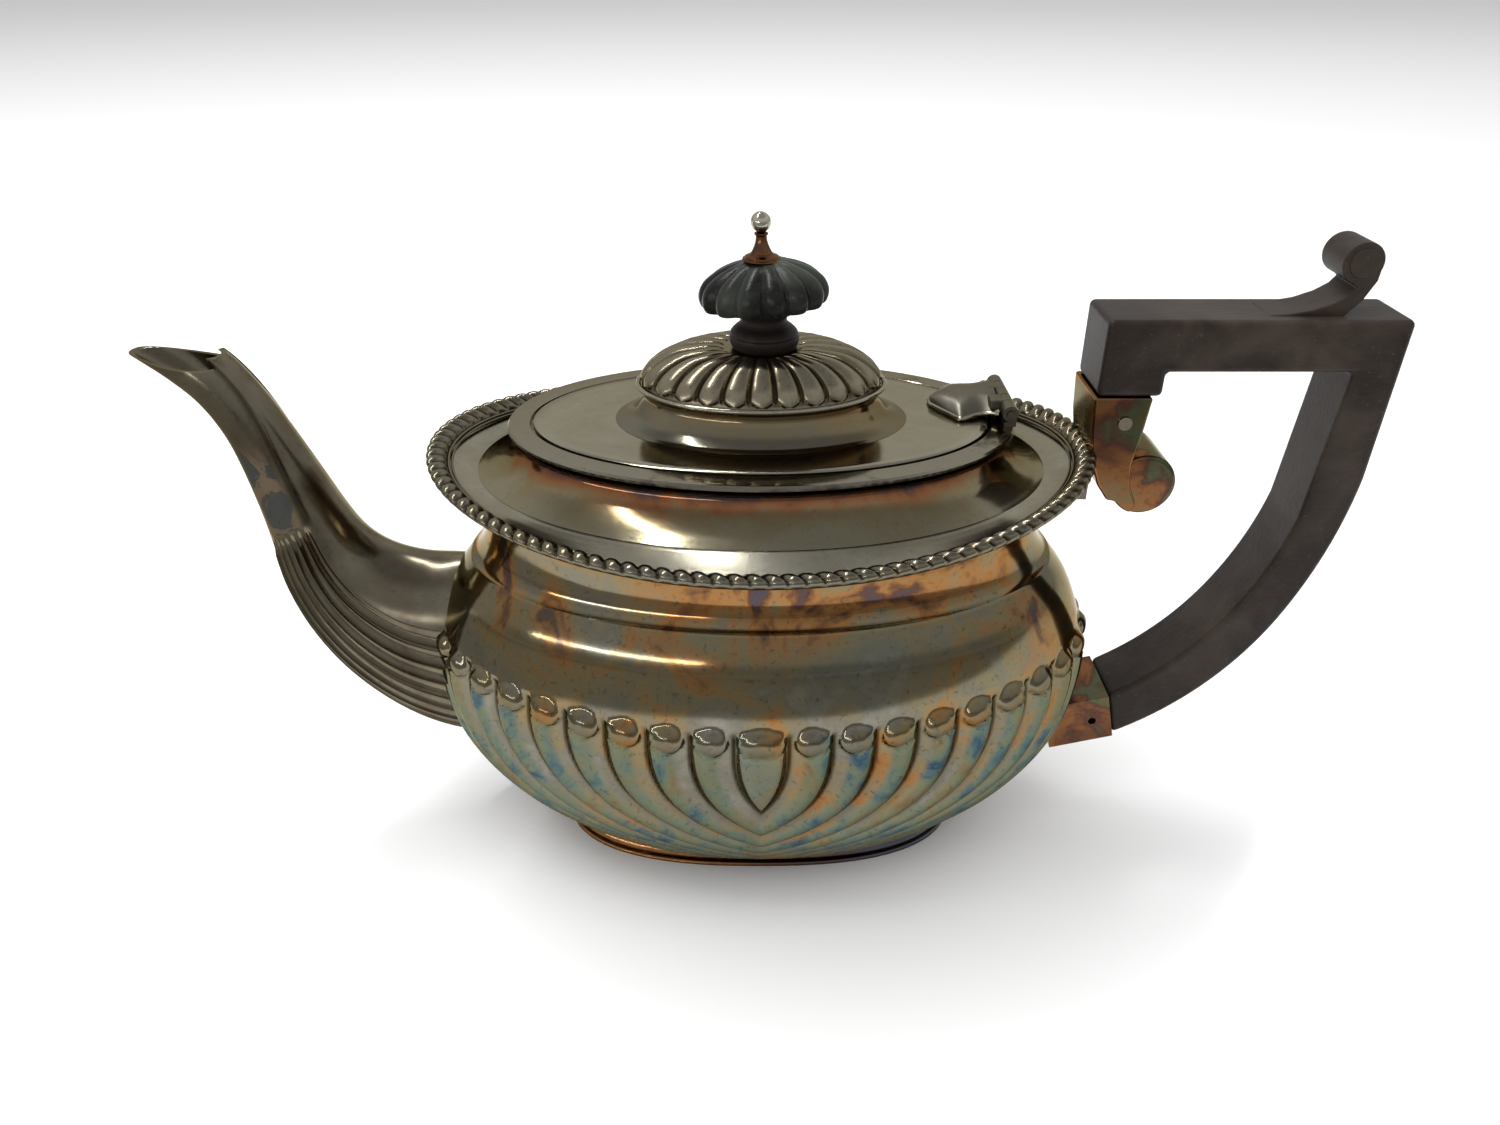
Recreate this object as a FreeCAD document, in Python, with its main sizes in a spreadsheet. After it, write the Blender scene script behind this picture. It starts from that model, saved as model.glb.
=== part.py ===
import FreeCAD, Part
import math
import os

import Sketcher
from FreeCAD import Placement, Rotation, Vector

# Oval silver-plated teapot with a hinged lid and an ebonised wooden handle.
# X runs along the pot from spout (-X) to handle (+X), Z is up, and the origin is the centre of the
# foot on the surface that the pot stands on. Every size is a millimetre.

SIZES = {
    # foot and body
    "foot_half_length": 50.6,
    "foot_half_width": 27.2,
    "foot_fullness": 2.5,
    "foot_height": 6.0,
    "foot_wall": 1.2,
    "body_half_length": 78.4,
    "body_aspect": 0.60,
    "body_wall": 1.0,
    "ridge_height": 79.0,
    "neck_half_length": 64.2,
    "neck_half_width": 41.2,
    "neck_top": 98.4,
    # flange, border and mouth collar
    "flange_plate": 1.0,
    "flange_half_length": 70.6,
    "flange_half_width": 49.6,
    "border_half_length": 72.3,
    "border_half_width": 51.6,
    "border_end_height": 104.0,
    "border_saddle": 5.8,
    "border_breadth": 2.1,
    "border_depth": 1.5,
    "lip_half_length": 56.4,
    "lip_half_width": 35.8,
    "lip_height": 110.6,
    "lip_breadth": 5.0,
    "ledge_clearance": 0.05,
    # lid
    "lid_half_length": 50.6,
    "lid_half_width": 30.0,
    "lid_plate": 1.0,
    "lid_underside": 109.9,
    "bezel_half_length": 48.6,
    "bezel_half_width": 28.0,
    "bezel_wall": 0.8,
    "bezel_drop": 5.5,
    "gallery_half_length": 33.0,
    "gallery_half_width": 22.0,
    "gallery_top": 118.4,
    "dome_half_length": 27.0,
    "dome_half_width": 18.1,
    "dome_wire": 0.55,
    "dome_sheet": 0.8,
    "dome_top": 126.8,
    # finial
    "collar_radius": 7.4,
    "collar_height": 9.4,
    "knob_radius": 14.2,
    "knob_height": 9.5,
    "knob_flutes": 14,
    "knob_aspect": 0.74,
    "knob_turn": -20.0,
    "cap_radius": 4.2,
    "cap_height": 1.4,
    "stem_radius": 1.25,
    "bead_radius": 2.05,
    "bead_height": 153.4,
    "bolt_radius": 1.15,
    "bolt_room": 0.1,
    "bolt_clearance": 0.06,
    "bolt_tail": 1.5,
    "nut_across": 4.6,
    "nut_height": 2.0,
    "washer_radius": 4.0,
    "washer_thick": 0.7,
    # hinge
    "hinge_reach": 54.4,
    "hinge_height": 113.6,
    "hinge_offset": 4.0,
    "hinge_pin_radius": 0.8,
    "hinge_clearance": 0.05,
    "hinge_pin_ends": 0.8,
    "knuckle_room": 0.12,
    "knuckle_radius": 1.75,
    "knuckle_length": 3.9,
    "knuckle_gap": 0.1,
    "leaf_sheet": 0.9,
    # wooden handle
    "handle_half_width": 8.4,
    "handle_left": 71.9,
    "handle_right": 135.6,
    "handle_top": 135.2,
    "bar_depth": 11.4,
    "leg_breadth": 13.9,
    "leg_bottom": 118.4,
    "bow_end_x": 88.2,
    "bow_end_z": 33.4,
    "bow_end_depth": 12.4,
    "bow_end_angle": 13.0,
    "bow_outer_upper_arc": 108.0,
    "bow_outer_lower_arc": 76.0,
    "bow_inner_upper_arc": 80.0,
    "bow_inner_lower_arc": 67.0,
    "scroll_half_width": 5.0,
    "scroll_radius": 4.0,
    "scroll_x": 123.3,
    "scroll_z": 146.3,
    "scroll_sweep": 10.0,
    # sockets and rivet
    "socket_wall": 0.9,
    "socket_clearance": 0.05,
    "socket_half_width": 8.6,
    "socket_left": 71.4,
    "socket_right": 83.9,
    "socket_floor": 108.4,
    "thumb_roll_radius": 7.1,
    "thumb_roll_x": 85.5,
    "thumb_roll_z": 97.5,
    "lower_socket_half_width": 9.0,
    "lower_socket_length": 16.0,
    "tenon_length": 8.5,
    "tenon_gap": 0.08,
    "rivet_radius": 0.95,
    "rivet_clearance": 0.03,
    "rivet_x": 78.6,
    "rivet_z": 112.6,
    "rivet_head_radius": 1.5,
    "rivet_head_height": 0.5,
    "pin_hole_x": 83.7,
    "pin_hole_z": 32.0,
    "stay_length": 14.0,
    "stay_width": 10.0,
    "stay_height": 4.6,
    "stay_underside": 92.4,
    # spout
    "spout_wall": 1.0,
    "strainer_hole": 1.5,
    "strainer_pitch": 5.0,
    "strainer_centre": 48.0,
    "strainer_half_width": 12.6,
    "strainer_half_height": 18.4,
}

doc = FreeCAD.newDocument("teapot")
sheet = doc.addObject("Spreadsheet::Sheet", "Sizes")
for row, (alias, number) in enumerate(SIZES.items(), start=1):
    sheet.set(f"A{row}", alias)
    sheet.set(f"B{row}", str(number))
    sheet.setAlias(f"B{row}", alias)
doc.recompute()

sub_parts = []


class Size:
    """A number with the sheet expression that it comes from, so that both stay together."""

    def __init__(self, value, text=None):
        self.value = float(value)
        self.text = text if text is not None else repr(float(value))

    def _with(self, other, sign, value):
        other = as_size(other)
        return Size(value(self.value, other.value), f"({self.text} {sign} {other.text})")

    def __add__(self, other):
        return self._with(other, "+", lambda a, b: a + b)

    def __sub__(self, other):
        return self._with(other, "-", lambda a, b: a - b)

    def __mul__(self, other):
        return self._with(other, "*", lambda a, b: a * b)

    def __truediv__(self, other):
        return self._with(other, "/", lambda a, b: a / b)

    def __neg__(self):
        return Size(-self.value, f"(0 - {self.text})")


def as_size(number):
    return number if isinstance(number, Size) else Size(number)


def size(alias):
    """A size bound to its sheet cell."""
    return Size(sheet.get(alias), f"Sizes.{alias}")


def mm(alias):
    """The plain number in a sheet cell."""
    return float(sheet.get(alias))


# ---------------------------------------------------------------- sketches and bodies


def new_body(label):
    body = doc.addObject("PartDesign::Body", label)
    body.Label = label
    sub_parts.append(body)
    return body


def new_sketch(body, plane, name, lift=None):
    """A sketch on one of the body's own origin planes, lifted along the plane's normal."""
    sketch = body.newObject("Sketcher::SketchObject", name)
    origin = next(f for f in body.Origin.OriginFeatures if f.Role == plane)
    sketch.AttachmentSupport = [(origin, "")]
    sketch.MapMode = "FlatFace"
    if lift is not None:
        sketch.AttachmentOffset = Placement(Vector(0, 0, lift.value), Rotation())
        sketch.setExpression("AttachmentOffset.Base.z", lift.text)
    return sketch


def bind(sketch, kind, *where, to):
    """A driving constraint whose value is a sheet expression."""
    to = as_size(to)
    index = sketch.addConstraint(Sketcher.Constraint(kind, *where, to.value))
    sketch.setExpression(f"Constraints[{index}]", to.text)


def draw_outline(sketch, corners, arcs=None):
    """A closed outline. arcs maps an edge's number to (radius, side): side +1 bulges to the left."""
    arcs = arcs or {}
    corners = [(as_size(x), as_size(y)) for x, y in corners]
    count = len(corners)
    first = sketch.GeometryCount
    starts = []
    for i in range(count):
        a = Vector(corners[i][0].value, corners[i][1].value, 0)
        b = Vector(corners[(i + 1) % count][0].value, corners[(i + 1) % count][1].value, 0)
        if i not in arcs:
            sketch.addGeometry(Part.LineSegment(a, b), False)
            starts.append((first + i, 1, 2))
            continue
        radius, side = arcs[i]
        half = (b - a) * 0.5
        normal = Vector(-half.y, half.x, 0).normalize()
        reach = math.sqrt(max(as_size(radius).value ** 2 - half.Length**2, 0.0))
        centre = a + half - normal * (side * reach)
        middle = centre + normal * (side * as_size(radius).value)
        arc = Part.Arc(a, middle, b)
        sketch.addGeometry(arc, False)
        starts.append((first + i, 2, 1) if side > 0 else (first + i, 1, 2))
    for i in range(count):
        edge, start, end = starts[i]
        following, next_start, _ = starts[(i + 1) % count]
        sketch.addConstraint(Sketcher.Constraint("Coincident", edge, end, following, next_start))
    for i in range(count):
        edge, start, _ = starts[i]
        bind(sketch, "DistanceX", -1, 1, edge, start, to=corners[i][0])
        bind(sketch, "DistanceY", -1, 1, edge, start, to=corners[i][1])
        if i in arcs:
            bind(sketch, "Radius", edge, to=arcs[i][0])


def draw_circle(sketch, x, y, radius):
    x, y, radius = as_size(x), as_size(y), as_size(radius)
    circle = Part.Circle(Vector(x.value, y.value, 0), Vector(0, 0, 1), radius.value)
    edge = sketch.addGeometry(circle, False)
    bind(sketch, "DistanceX", -1, 1, edge, 3, to=x)
    bind(sketch, "DistanceY", -1, 1, edge, 3, to=y)
    bind(sketch, "Radius", edge, to=radius)


def draw_ellipse(sketch, half_length, half_width):
    """An ellipse about the sketch's origin with its long axis along the sketch's x."""
    a, b = half_length, half_width
    edge = sketch.addGeometry(
        Part.Ellipse(Vector(a.value, 0, 0), Vector(0, b.value, 0), Vector(0, 0, 0)), False
    )
    sketch.exposeInternalGeometry(edge)
    sketch.addConstraint(Sketcher.Constraint("Coincident", edge, 3, -1, 1))
    major, minor = edge + 1, edge + 2
    sketch.addConstraint(Sketcher.Constraint("Horizontal", major))
    bind(sketch, "Distance", major, to=a * 2)
    bind(sketch, "Distance", minor, to=b * 2)


def pad(body, sketch, length, name, symmetric=False):
    feature = body.newObject("PartDesign::Pad", name)
    feature.Profile = sketch
    feature.Length = length.value
    feature.setExpression("Length", length.text)
    if symmetric:
        feature.SideType = "Symmetric"
    return feature


def pocket_through(body, sketch, name):
    """A cut through everything on both sides of the sketch."""
    feature = body.newObject("PartDesign::Pocket", name)
    feature.Profile = sketch
    feature.SideType = "Symmetric"
    feature.Type = "ThroughAll"
    return feature


def revolve(body, sketch, name):
    """A full turn about the vertical axis of the sketch."""
    feature = body.newObject("PartDesign::Revolution", name)
    feature.Profile = sketch
    feature.ReferenceAxis = (sketch, ["V_Axis"])
    feature.Angle = 360
    return feature


def turned(label, corners, arcs=None):
    """A body turned about Z from a half outline in (radius, height)."""
    body = new_body(label)
    sketch = new_sketch(body, "XZ_Plane", f"{label}_profile")
    draw_outline(sketch, corners, arcs)
    revolve(body, sketch, f"{label}_turning")
    return body


# ---------------------------------------------------------------- oval rings


def oval_wire(half_length, half_width, height, saddle=0.0, fullness=2.0):
    """A closed oval about Z. A saddle lowers the long sides and leaves the ends at full height,
    and a fullness above 2 squares the oval up towards a rounded rectangle."""
    if saddle == 0.0 and fullness == 2.0:
        ellipse = Part.Ellipse(Vector(0, 0, height), half_length, half_width)
        return Part.Wire([ellipse.toShape()])
    points = []
    steps = 48
    for i in range(steps):
        turn = 2 * math.pi * (i + 0.5) / steps
        reach = (abs(math.cos(turn)) ** fullness + abs(math.sin(turn)) ** fullness) ** (-1 / fullness)
        x = half_length * reach * math.cos(turn)
        y = half_width * reach * math.sin(turn)
        points.append(Vector(x, y, height - saddle * math.sin(turn) ** 2))
    curve = Part.BSplineCurve()
    curve.interpolate(Points=points, PeriodicFlag=True)
    return Part.Wire([curve.toShape()])


def oval_ring(sections):
    """A solid ring. Its cross-section's corners are (half length, half width, height, saddle).
    Two corners at one height have a flat face between them."""
    wires = [oval_wire(*section) for section in sections]
    faces = []
    for i, wire in enumerate(wires):
        following = (i + 1) % len(wires)
        saddled = any(sections[k][3:4] not in ((), (0.0,)) for k in (i, following))
        if sections[i][2] == sections[following][2] and not saddled:
            inner, outer = sorted((wire, wires[following]), key=lambda edge: edge.BoundBox.XLength)
            faces += Part.Face(outer).cut(Part.Face(inner)).Faces
        else:
            faces += Part.makeLoft([wire, wires[following]], False, True).Faces
    shell = Part.makeShell(faces)
    shell.sewShape()
    solid = Part.makeSolid(shell)
    if solid.Volume < 0:
        solid.reverse()
    return solid


def oval_vessel(sections):
    """A solid lofted smoothly through oval sections."""
    return Part.makeLoft([oval_wire(*section) for section in sections], True, False)


def plain_feature(label, shape):
    feature = doc.addObject("Part::Feature", label)
    feature.Label = label
    feature.Shape = shape
    feature.Placement = Placement()
    sub_parts.append(feature)
    return feature


# ---------------------------------------------------------------- body

# The ridge's half length as a share of the widest half length.
RIDGE_SHARE = 0.868


def body_profile():
    """Half length of the body's outside at each height, from the foot to the ridge under the neck."""
    widest = mm("body_half_length")
    return (
        (5.0, 0.60 * widest),
        (10.0, 0.722 * widest),
        (16.0, 0.805 * widest),
        (24.0, 0.893 * widest),
        (34.0, 0.965 * widest),
        (45.0, 0.996 * widest),
        (56.0, widest),
        (66.0, 0.968 * widest),
        (73.0, 0.925 * widest),
        (mm("ridge_height"), RIDGE_SHARE * widest),
    )


def bowl(wall):
    """The bulging body below the ridge, inset by a wall."""
    aspect = mm("body_aspect")
    sections = []
    for height, half_length in body_profile():
        lift = wall if height < 10.0 else 0.0
        sections.append((half_length - wall, half_length * aspect - wall, height + lift))
    return oval_vessel(sections)


def neck(wall):
    """The waisted neck from the ridge up to the flange, inset by a wall."""
    ridge_length = RIDGE_SHARE * mm("body_half_length")
    ridge_width = ridge_length * mm("body_aspect")
    top = mm("neck_top")
    end = 0.02 if wall else 0.0
    return oval_vessel(
        (
            (ridge_length - wall, ridge_width - wall, mm("ridge_height") - end),
            (0.985 * ridge_length - wall, 0.985 * ridge_width - wall, mm("ridge_height") + 2.0),
            (0.955 * ridge_length - wall, 0.955 * ridge_width - wall, mm("ridge_height") + 6.0),
            (0.945 * ridge_length - wall, 0.965 * ridge_width - wall, mm("ridge_height") + 11.0),
            (mm("neck_half_length") - wall, mm("neck_half_width") - wall, top + end),
        )
    )


def strainer_holes():
    """Round holes that let tea out of the body into the spout, in a hexagonal patch."""
    pitch = mm("strainer_pitch")
    holes = []
    for column in range(-2, 3):
        for level in range(-3, 4):
            y = column * pitch
            z = mm("strainer_centre") + (level + 0.5 * (column % 2)) * pitch
            rise = z - mm("strainer_centre")
            if (y / mm("strainer_half_width")) ** 2 + (rise / mm("strainer_half_height")) ** 2 < 1.0:
                start = Vector(-mm("body_half_length") - 5.0, y, z)
                holes.append(Part.makeCylinder(mm("strainer_hole"), 20, start, Vector(1, 0, 0)))
    return holes


body_outside = bowl(0.0).fuse(neck(0.0)).removeSplitter()
body_inside = bowl(mm("body_wall")).fuse(neck(mm("body_wall")))
body_shell = body_outside.cut(body_inside).cut(Part.makeCompound(strainer_holes()))
plain_feature("body_shell", body_shell.Solids[0])

# ---------------------------------------------------------------- foot

foot_a, foot_b, foot_wall = mm("foot_half_length"), mm("foot_half_width"), mm("foot_wall")
foot_top = mm("foot_height") + 1.0
foot_line = (
    (0.0, 0.0),
    (0.0, 0.9),
    (1.2, 1.6),
    (2.4, 4.0),
    (2.0, foot_top),
    (2.0 + foot_wall, foot_top),
    (2.4 + foot_wall, 4.0),
    (1.2 + foot_wall, 0.0),
)
foot_solid = oval_ring(
    [(foot_a - inset, foot_b - inset, height, 0.0, mm("foot_fullness")) for inset, height in foot_line]
)
plain_feature("foot_ring", foot_solid.cut(body_outside).Solids[0])

# ---------------------------------------------------------------- flange, border and mouth collar

sheet_thick = mm("flange_plate")


def flange_line(drop):
    """The flange's cross-section from its flat inner seat out to the border."""
    top = mm("neck_top") + sheet_thick - drop
    neck_a, neck_b = mm("neck_half_length"), mm("neck_half_width")
    flange_a, flange_b = mm("flange_half_length"), mm("flange_half_width")
    return [
        (neck_a - 6.0, neck_b - 3.6, top, 0.0),
        (neck_a + 0.6, neck_b + 0.6, top, 0.0),
        (0.5 * (neck_a + flange_a), 0.5 * (neck_b + flange_b), top + 1.1, 1.3),
        (flange_a, flange_b, top + 3.3, 4.3),
    ]


plain_feature("rim_flange", oval_ring(flange_line(0.0) + flange_line(sheet_thick)[::-1]))

border_sections = []
for step in range(10):
    turn = 2 * math.pi * step / 10
    out = mm("border_breadth") * math.cos(turn)
    up = mm("border_depth") * math.sin(turn) + 0.35 * out
    border_sections.append(
        (
            mm("border_half_length") + out,
            mm("border_half_width") + out,
            mm("border_end_height") + up,
            mm("border_saddle") + 0.05 * out,
        )
    )
gadroon_border = oval_ring(border_sections)
flange_feature = doc.getObject("rim_flange")
plain_feature("gadroon_border", gadroon_border.cut(flange_feature.Shape).Solids[0])

lip_a, lip_b, lip_z = mm("lip_half_length"), mm("lip_half_width"), mm("lip_height")
lip_in = mm("lip_breadth")
ledge_z = mm("lid_underside") - mm("ledge_clearance")
collar_foot = mm("neck_top") + sheet_thick
collar_sections = (
    (lip_a, lip_b, lip_z - 0.5),
    (lip_a - 0.4, lip_b - 0.4, lip_z),
    (lip_a - lip_in, lip_b - lip_in, lip_z),
    (lip_a - lip_in, lip_b - lip_in, ledge_z),
    (lip_a - lip_in - 1.2, lip_b - lip_in - 1.2, ledge_z),
    (lip_a - lip_in - 1.2, lip_b - lip_in - 1.2, ledge_z - 0.8),
    (lip_a - 3.4, lip_b - 3.3, 105.0),
    (lip_a - 2.2, lip_b - 2.0, 101.5),
    (lip_a + 1.4, lip_b + 1.4, collar_foot),
    (lip_a + 3.2, lip_b + 3.2, collar_foot),
    (lip_a - 0.6, lip_b - 0.4, 101.4),
    (lip_a - 2.2, lip_b - 2.1, 105.0),
    (lip_a - 1.7, lip_b - 1.7, 108.0),
    (lip_a, lip_b, lip_z - 1.3),
)
plain_feature("mouth_collar", oval_ring(collar_sections))

# ---------------------------------------------------------------- lid


def oval_plate(label, half_length, half_width, hole_length, hole_width, underside, thick):
    """A flat oval plate with an oval hole, padded upwards from its underside."""
    body = new_body(label)
    sketch = new_sketch(body, "XY_Plane", f"{label}_outline", lift=underside)
    draw_ellipse(sketch, half_length, half_width)
    pad(body, sketch, thick, f"{label}_plate")
    hole = new_sketch(body, "XY_Plane", f"{label}_opening", lift=underside)
    draw_ellipse(hole, hole_length, hole_width)
    pocket_through(body, hole, f"{label}_cut")
    return body


oval_plate(
    "lid_plate",
    size("lid_half_length"),
    size("lid_half_width"),
    size("gallery_half_length") - 4.0,
    size("gallery_half_width") - 4.0,
    size("lid_underside"),
    size("lid_plate"),
)
oval_plate(
    "lid_bezel",
    size("bezel_half_length"),
    size("bezel_half_width"),
    size("bezel_half_length") - size("bezel_wall"),
    size("bezel_half_width") - size("bezel_wall"),
    size("lid_underside") - size("bezel_drop"),
    size("bezel_drop"),
)

gallery_a, gallery_b = mm("gallery_half_length"), mm("gallery_half_width")
plate_top = mm("lid_underside") + mm("lid_plate")
gallery_top = mm("gallery_top")
gallery_skin = mm("dome_sheet")
gallery_outside = (
    (gallery_a, gallery_b, plate_top),
    (gallery_a - 2.6, gallery_b - 2.0, plate_top + 0.9),
    (gallery_a - 5.6, gallery_b - 4.2, plate_top + 2.7),
    (gallery_a - 7.6, gallery_b - 5.7, plate_top + 5.0),
    (gallery_a - 7.4, gallery_b - 5.4, gallery_top - 0.6),
    (gallery_a - 6.5, gallery_b - 4.4, gallery_top),
)
gallery_inside = tuple(
    (a - gallery_skin, b - gallery_skin, z if z in (plate_top, gallery_top) else z - 0.3)
    for a, b, z in gallery_outside
)
plain_feature("lid_gallery", oval_ring(gallery_outside + gallery_inside[::-1]))

dome_a, dome_b = mm("dome_half_length"), mm("dome_half_width")
wire = mm("dome_wire")
wire_sections = []
for step in range(8):
    turn = 2 * math.pi * step / 8
    out = wire * math.cos(turn)
    wire_sections.append((dome_a + out, dome_b + out, gallery_top + wire * (1 + math.sin(turn))))
plain_feature("dome_edge_wire", oval_ring(wire_sections))


def dome_surface(inset):
    """The fluted dome's crown line from its edge to the flat seat under the finial."""
    edge_a, edge_b = dome_a - wire - 0.05 - inset, dome_b - wire - 0.05 - inset
    top = mm("dome_top") - inset
    rise = top - gallery_top
    seat = mm("collar_radius") - 0.2
    return (
        (edge_a, edge_b, gallery_top),
        (edge_a - 0.6, edge_b - 0.5, gallery_top + 0.30 * rise),
        (edge_a - 3.6, edge_b - 2.5, gallery_top + 0.65 * rise),
        (edge_a - 9.0, edge_b - 5.2, gallery_top + 0.93 * rise),
        (seat + 4.5, seat + 2.2, gallery_top + 1.02 * rise),
        (seat, seat, top),
    )


dome_solid = oval_vessel(dome_surface(0.0)).cut(oval_vessel(dome_surface(mm("dome_sheet"))))
dome_solid = dome_solid.cut(
    Part.makeCylinder(mm("bolt_radius") + mm("bolt_room"), 20, Vector(0, 0, mm("dome_top") - 10))
)
plain_feature("lid_dome", max(dome_solid.Solids, key=lambda solid: solid.Volume))

# ---------------------------------------------------------------- finial

seat_z = size("dome_top")
collar_r = size("collar_radius")
bore = size("bolt_radius") + size("bolt_clearance")
collar_top = seat_z + size("collar_height")
turned(
    "finial_collar",
    (
        (bore, seat_z),
        (collar_r - 0.7, seat_z),
        (collar_r - 0.6, seat_z + 3.9),
        (collar_r - 1.2, seat_z + 4.2),
        (collar_r * 0.66, seat_z + 6.3),
        (collar_r * 0.8, collar_top),
        (bore, collar_top),
    ),
)

knob_r = size("knob_radius")
knob_z = collar_top
knob_h = size("knob_height")
knob = doc.addObject("PartDesign::Body", "round_knob")
knob_sketch = new_sketch(knob, "XZ_Plane", "finial_knob_profile")
draw_outline(
    knob_sketch,
    (
        (bore, knob_z),
        (knob_r * 0.55, knob_z),
        (knob_r * 0.92, knob_z + 0.6),
        (knob_r, knob_z + knob_h * 0.30),
        (knob_r * 0.82, knob_z + knob_h * 0.66),
        (knob_r * 0.42, knob_z + knob_h * 0.97),
        (bore, knob_z + knob_h),
    ),
)
revolve(knob, knob_sketch, "finial_knob_turning")
flute_sketch = new_sketch(knob, "XY_Plane", "finial_knob_flute", lift=knob_z - 1)
draw_circle(flute_sketch, knob_r * 1.06, 0, knob_r * 0.1)
flute = knob.newObject("PartDesign::Pocket", "finial_knob_groove")
flute.Profile = flute_sketch
flute.Type = "ThroughAll"
flute.Reversed = True
flutes = knob.newObject("PartDesign::PolarPattern", "finial_knob_flutes")
flutes.Originals = [flute]
flutes.Axis = (flute_sketch, ["N_Axis"])
flutes.Angle = 360
flutes.Occurrences = int(mm("knob_flutes"))
flutes.setExpression("Occurrences", "Sizes.knob_flutes")
knob.Tip = flutes
doc.recompute()
squeeze = FreeCAD.Matrix()
squeeze.scale(Vector(1, mm("knob_aspect"), 1))
oval_knob = knob.Shape.transformGeometry(squeeze)
oval_knob.rotate(Vector(0, 0, 0), Vector(0, 0, 1), mm("knob_turn"))
knob_bore = Part.makeCylinder(bore.value, 60, Vector(0, 0, knob_z.value - 20))
plain_feature("finial_knob", oval_knob.cut(knob_bore))

cap_z = knob_z + knob_h
turned(
    "finial_cap",
    (
        (bore, cap_z),
        (size("cap_radius"), cap_z),
        (size("cap_radius"), cap_z + 0.5),
        (size("cap_radius") * 0.65, cap_z + 0.8),
        (size("cap_radius") * 0.6, cap_z + size("cap_height")),
        (bore, cap_z + size("cap_height")),
    ),
)

stem_z = cap_z + size("cap_height")
bead_z = size("bead_height")
bead_r = size("bead_radius")
bolt_r = size("bolt_radius")
nut_z = seat_z - size("dome_sheet") - size("washer_thick") - size("nut_height")
turned(
    "finial_bolt",
    (
        (0, nut_z - size("bolt_tail")),
        (bolt_r, nut_z - size("bolt_tail")),
        (bolt_r, stem_z),
        (size("stem_radius") + 1.0, stem_z),
        (size("stem_radius"), stem_z + 1.6),
        (size("stem_radius"), bead_z - bead_r * 0.80),
        (bead_r, bead_z),
        (bead_r * 0.62, bead_z + bead_r * 0.78),
        (0, bead_z + bead_r),
    ),
)
turned(
    "finial_washer",
    (
        (bore, nut_z + size("nut_height")),
        (size("washer_radius"), nut_z + size("nut_height")),
        (size("washer_radius"), seat_z - size("dome_sheet")),
        (bore, seat_z - size("dome_sheet")),
    ),
)
nut = new_body("finial_nut")
nut_sketch = new_sketch(nut, "XY_Plane", "finial_nut_outline", lift=nut_z)
corner = size("nut_across") / math.sqrt(3)
draw_outline(
    nut_sketch,
    [(corner * math.cos(math.pi * i / 3), corner * math.sin(math.pi * i / 3)) for i in range(6)],
)
pad(nut, nut_sketch, size("nut_height"), "finial_nut_block")
nut_bore = new_sketch(nut, "XY_Plane", "finial_nut_bore", lift=nut_z)
draw_circle(nut_bore, 0, 0, bore)
pocket_through(nut, nut_bore, "finial_nut_cut")

# ---------------------------------------------------------------- hinge

axis_x, axis_z = size("hinge_reach"), size("hinge_height")
knuckle_r = size("knuckle_radius")
pitch_y = size("knuckle_length") + size("knuckle_gap")
hinge_bore = size("hinge_pin_radius") + size("hinge_clearance")


def across(sketch_offset):
    """An XZ sketch faces -Y, so a place along +Y is a negative lift."""
    return -(size("hinge_offset") + sketch_offset)


def add_knuckle(body, name, centre):
    """One barrel knuckle about the hinge axis, centred at a distance along it."""
    sketch = new_sketch(body, "XZ_Plane", f"{name}_ring", lift=across(centre))
    draw_circle(sketch, axis_x, axis_z, knuckle_r)
    pad(body, sketch, size("knuckle_length"), f"{name}_barrel", symmetric=True)


def add_plate(body, name, corners, centre, breadth):
    """A plate cut from an outline in X and Z, centred at a distance along the hinge axis."""
    sketch = new_sketch(body, "XZ_Plane", f"{name}_edge", lift=across(centre))
    draw_outline(sketch, corners)
    pad(body, sketch, breadth, f"{name}_plate", symmetric=True)


def drill_hinge(body, name):
    sketch = new_sketch(body, "XZ_Plane", f"{name}_bore")
    draw_circle(sketch, axis_x, axis_z, hinge_bore)
    pocket_through(body, sketch, f"{name}_drilling")


lip_top = size("lip_height")
fixed_leaf = new_body("hinge_fixed_leaf")
add_plate(
    fixed_leaf,
    "foot",
    (
        (axis_x - 1.2, lip_top),
        (axis_x + 1.4, lip_top),
        (axis_x + 1.4, axis_z),
        (axis_x + 0.2, axis_z - knuckle_r * 0.98),
        (axis_x - 1.2, axis_z - knuckle_r * 1.12),
    ),
    Size(0),
    pitch_y * 5 - size("knuckle_gap"),
)
add_knuckle(fixed_leaf, "near_knuckle", -(pitch_y * 2))
add_knuckle(fixed_leaf, "middle_knuckle", Size(0))
add_knuckle(fixed_leaf, "far_knuckle", pitch_y * 2)
for side, name in ((-1, "near_room"), (1, "far_room")):
    room = new_sketch(fixed_leaf, "XZ_Plane", name, lift=across(pitch_y * side))
    draw_circle(room, axis_x, axis_z, knuckle_r + size("knuckle_room"))
    cut = fixed_leaf.newObject("PartDesign::Pocket", f"{name}_cut")
    cut.Profile = room
    cut.SideType = "Symmetric"
    cut.Length = (size("knuckle_length") + size("knuckle_gap") * 2).value
    cut.setExpression("Length", (size("knuckle_length") + size("knuckle_gap") * 2).text)
drill_hinge(fixed_leaf, "fixed_leaf")

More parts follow.
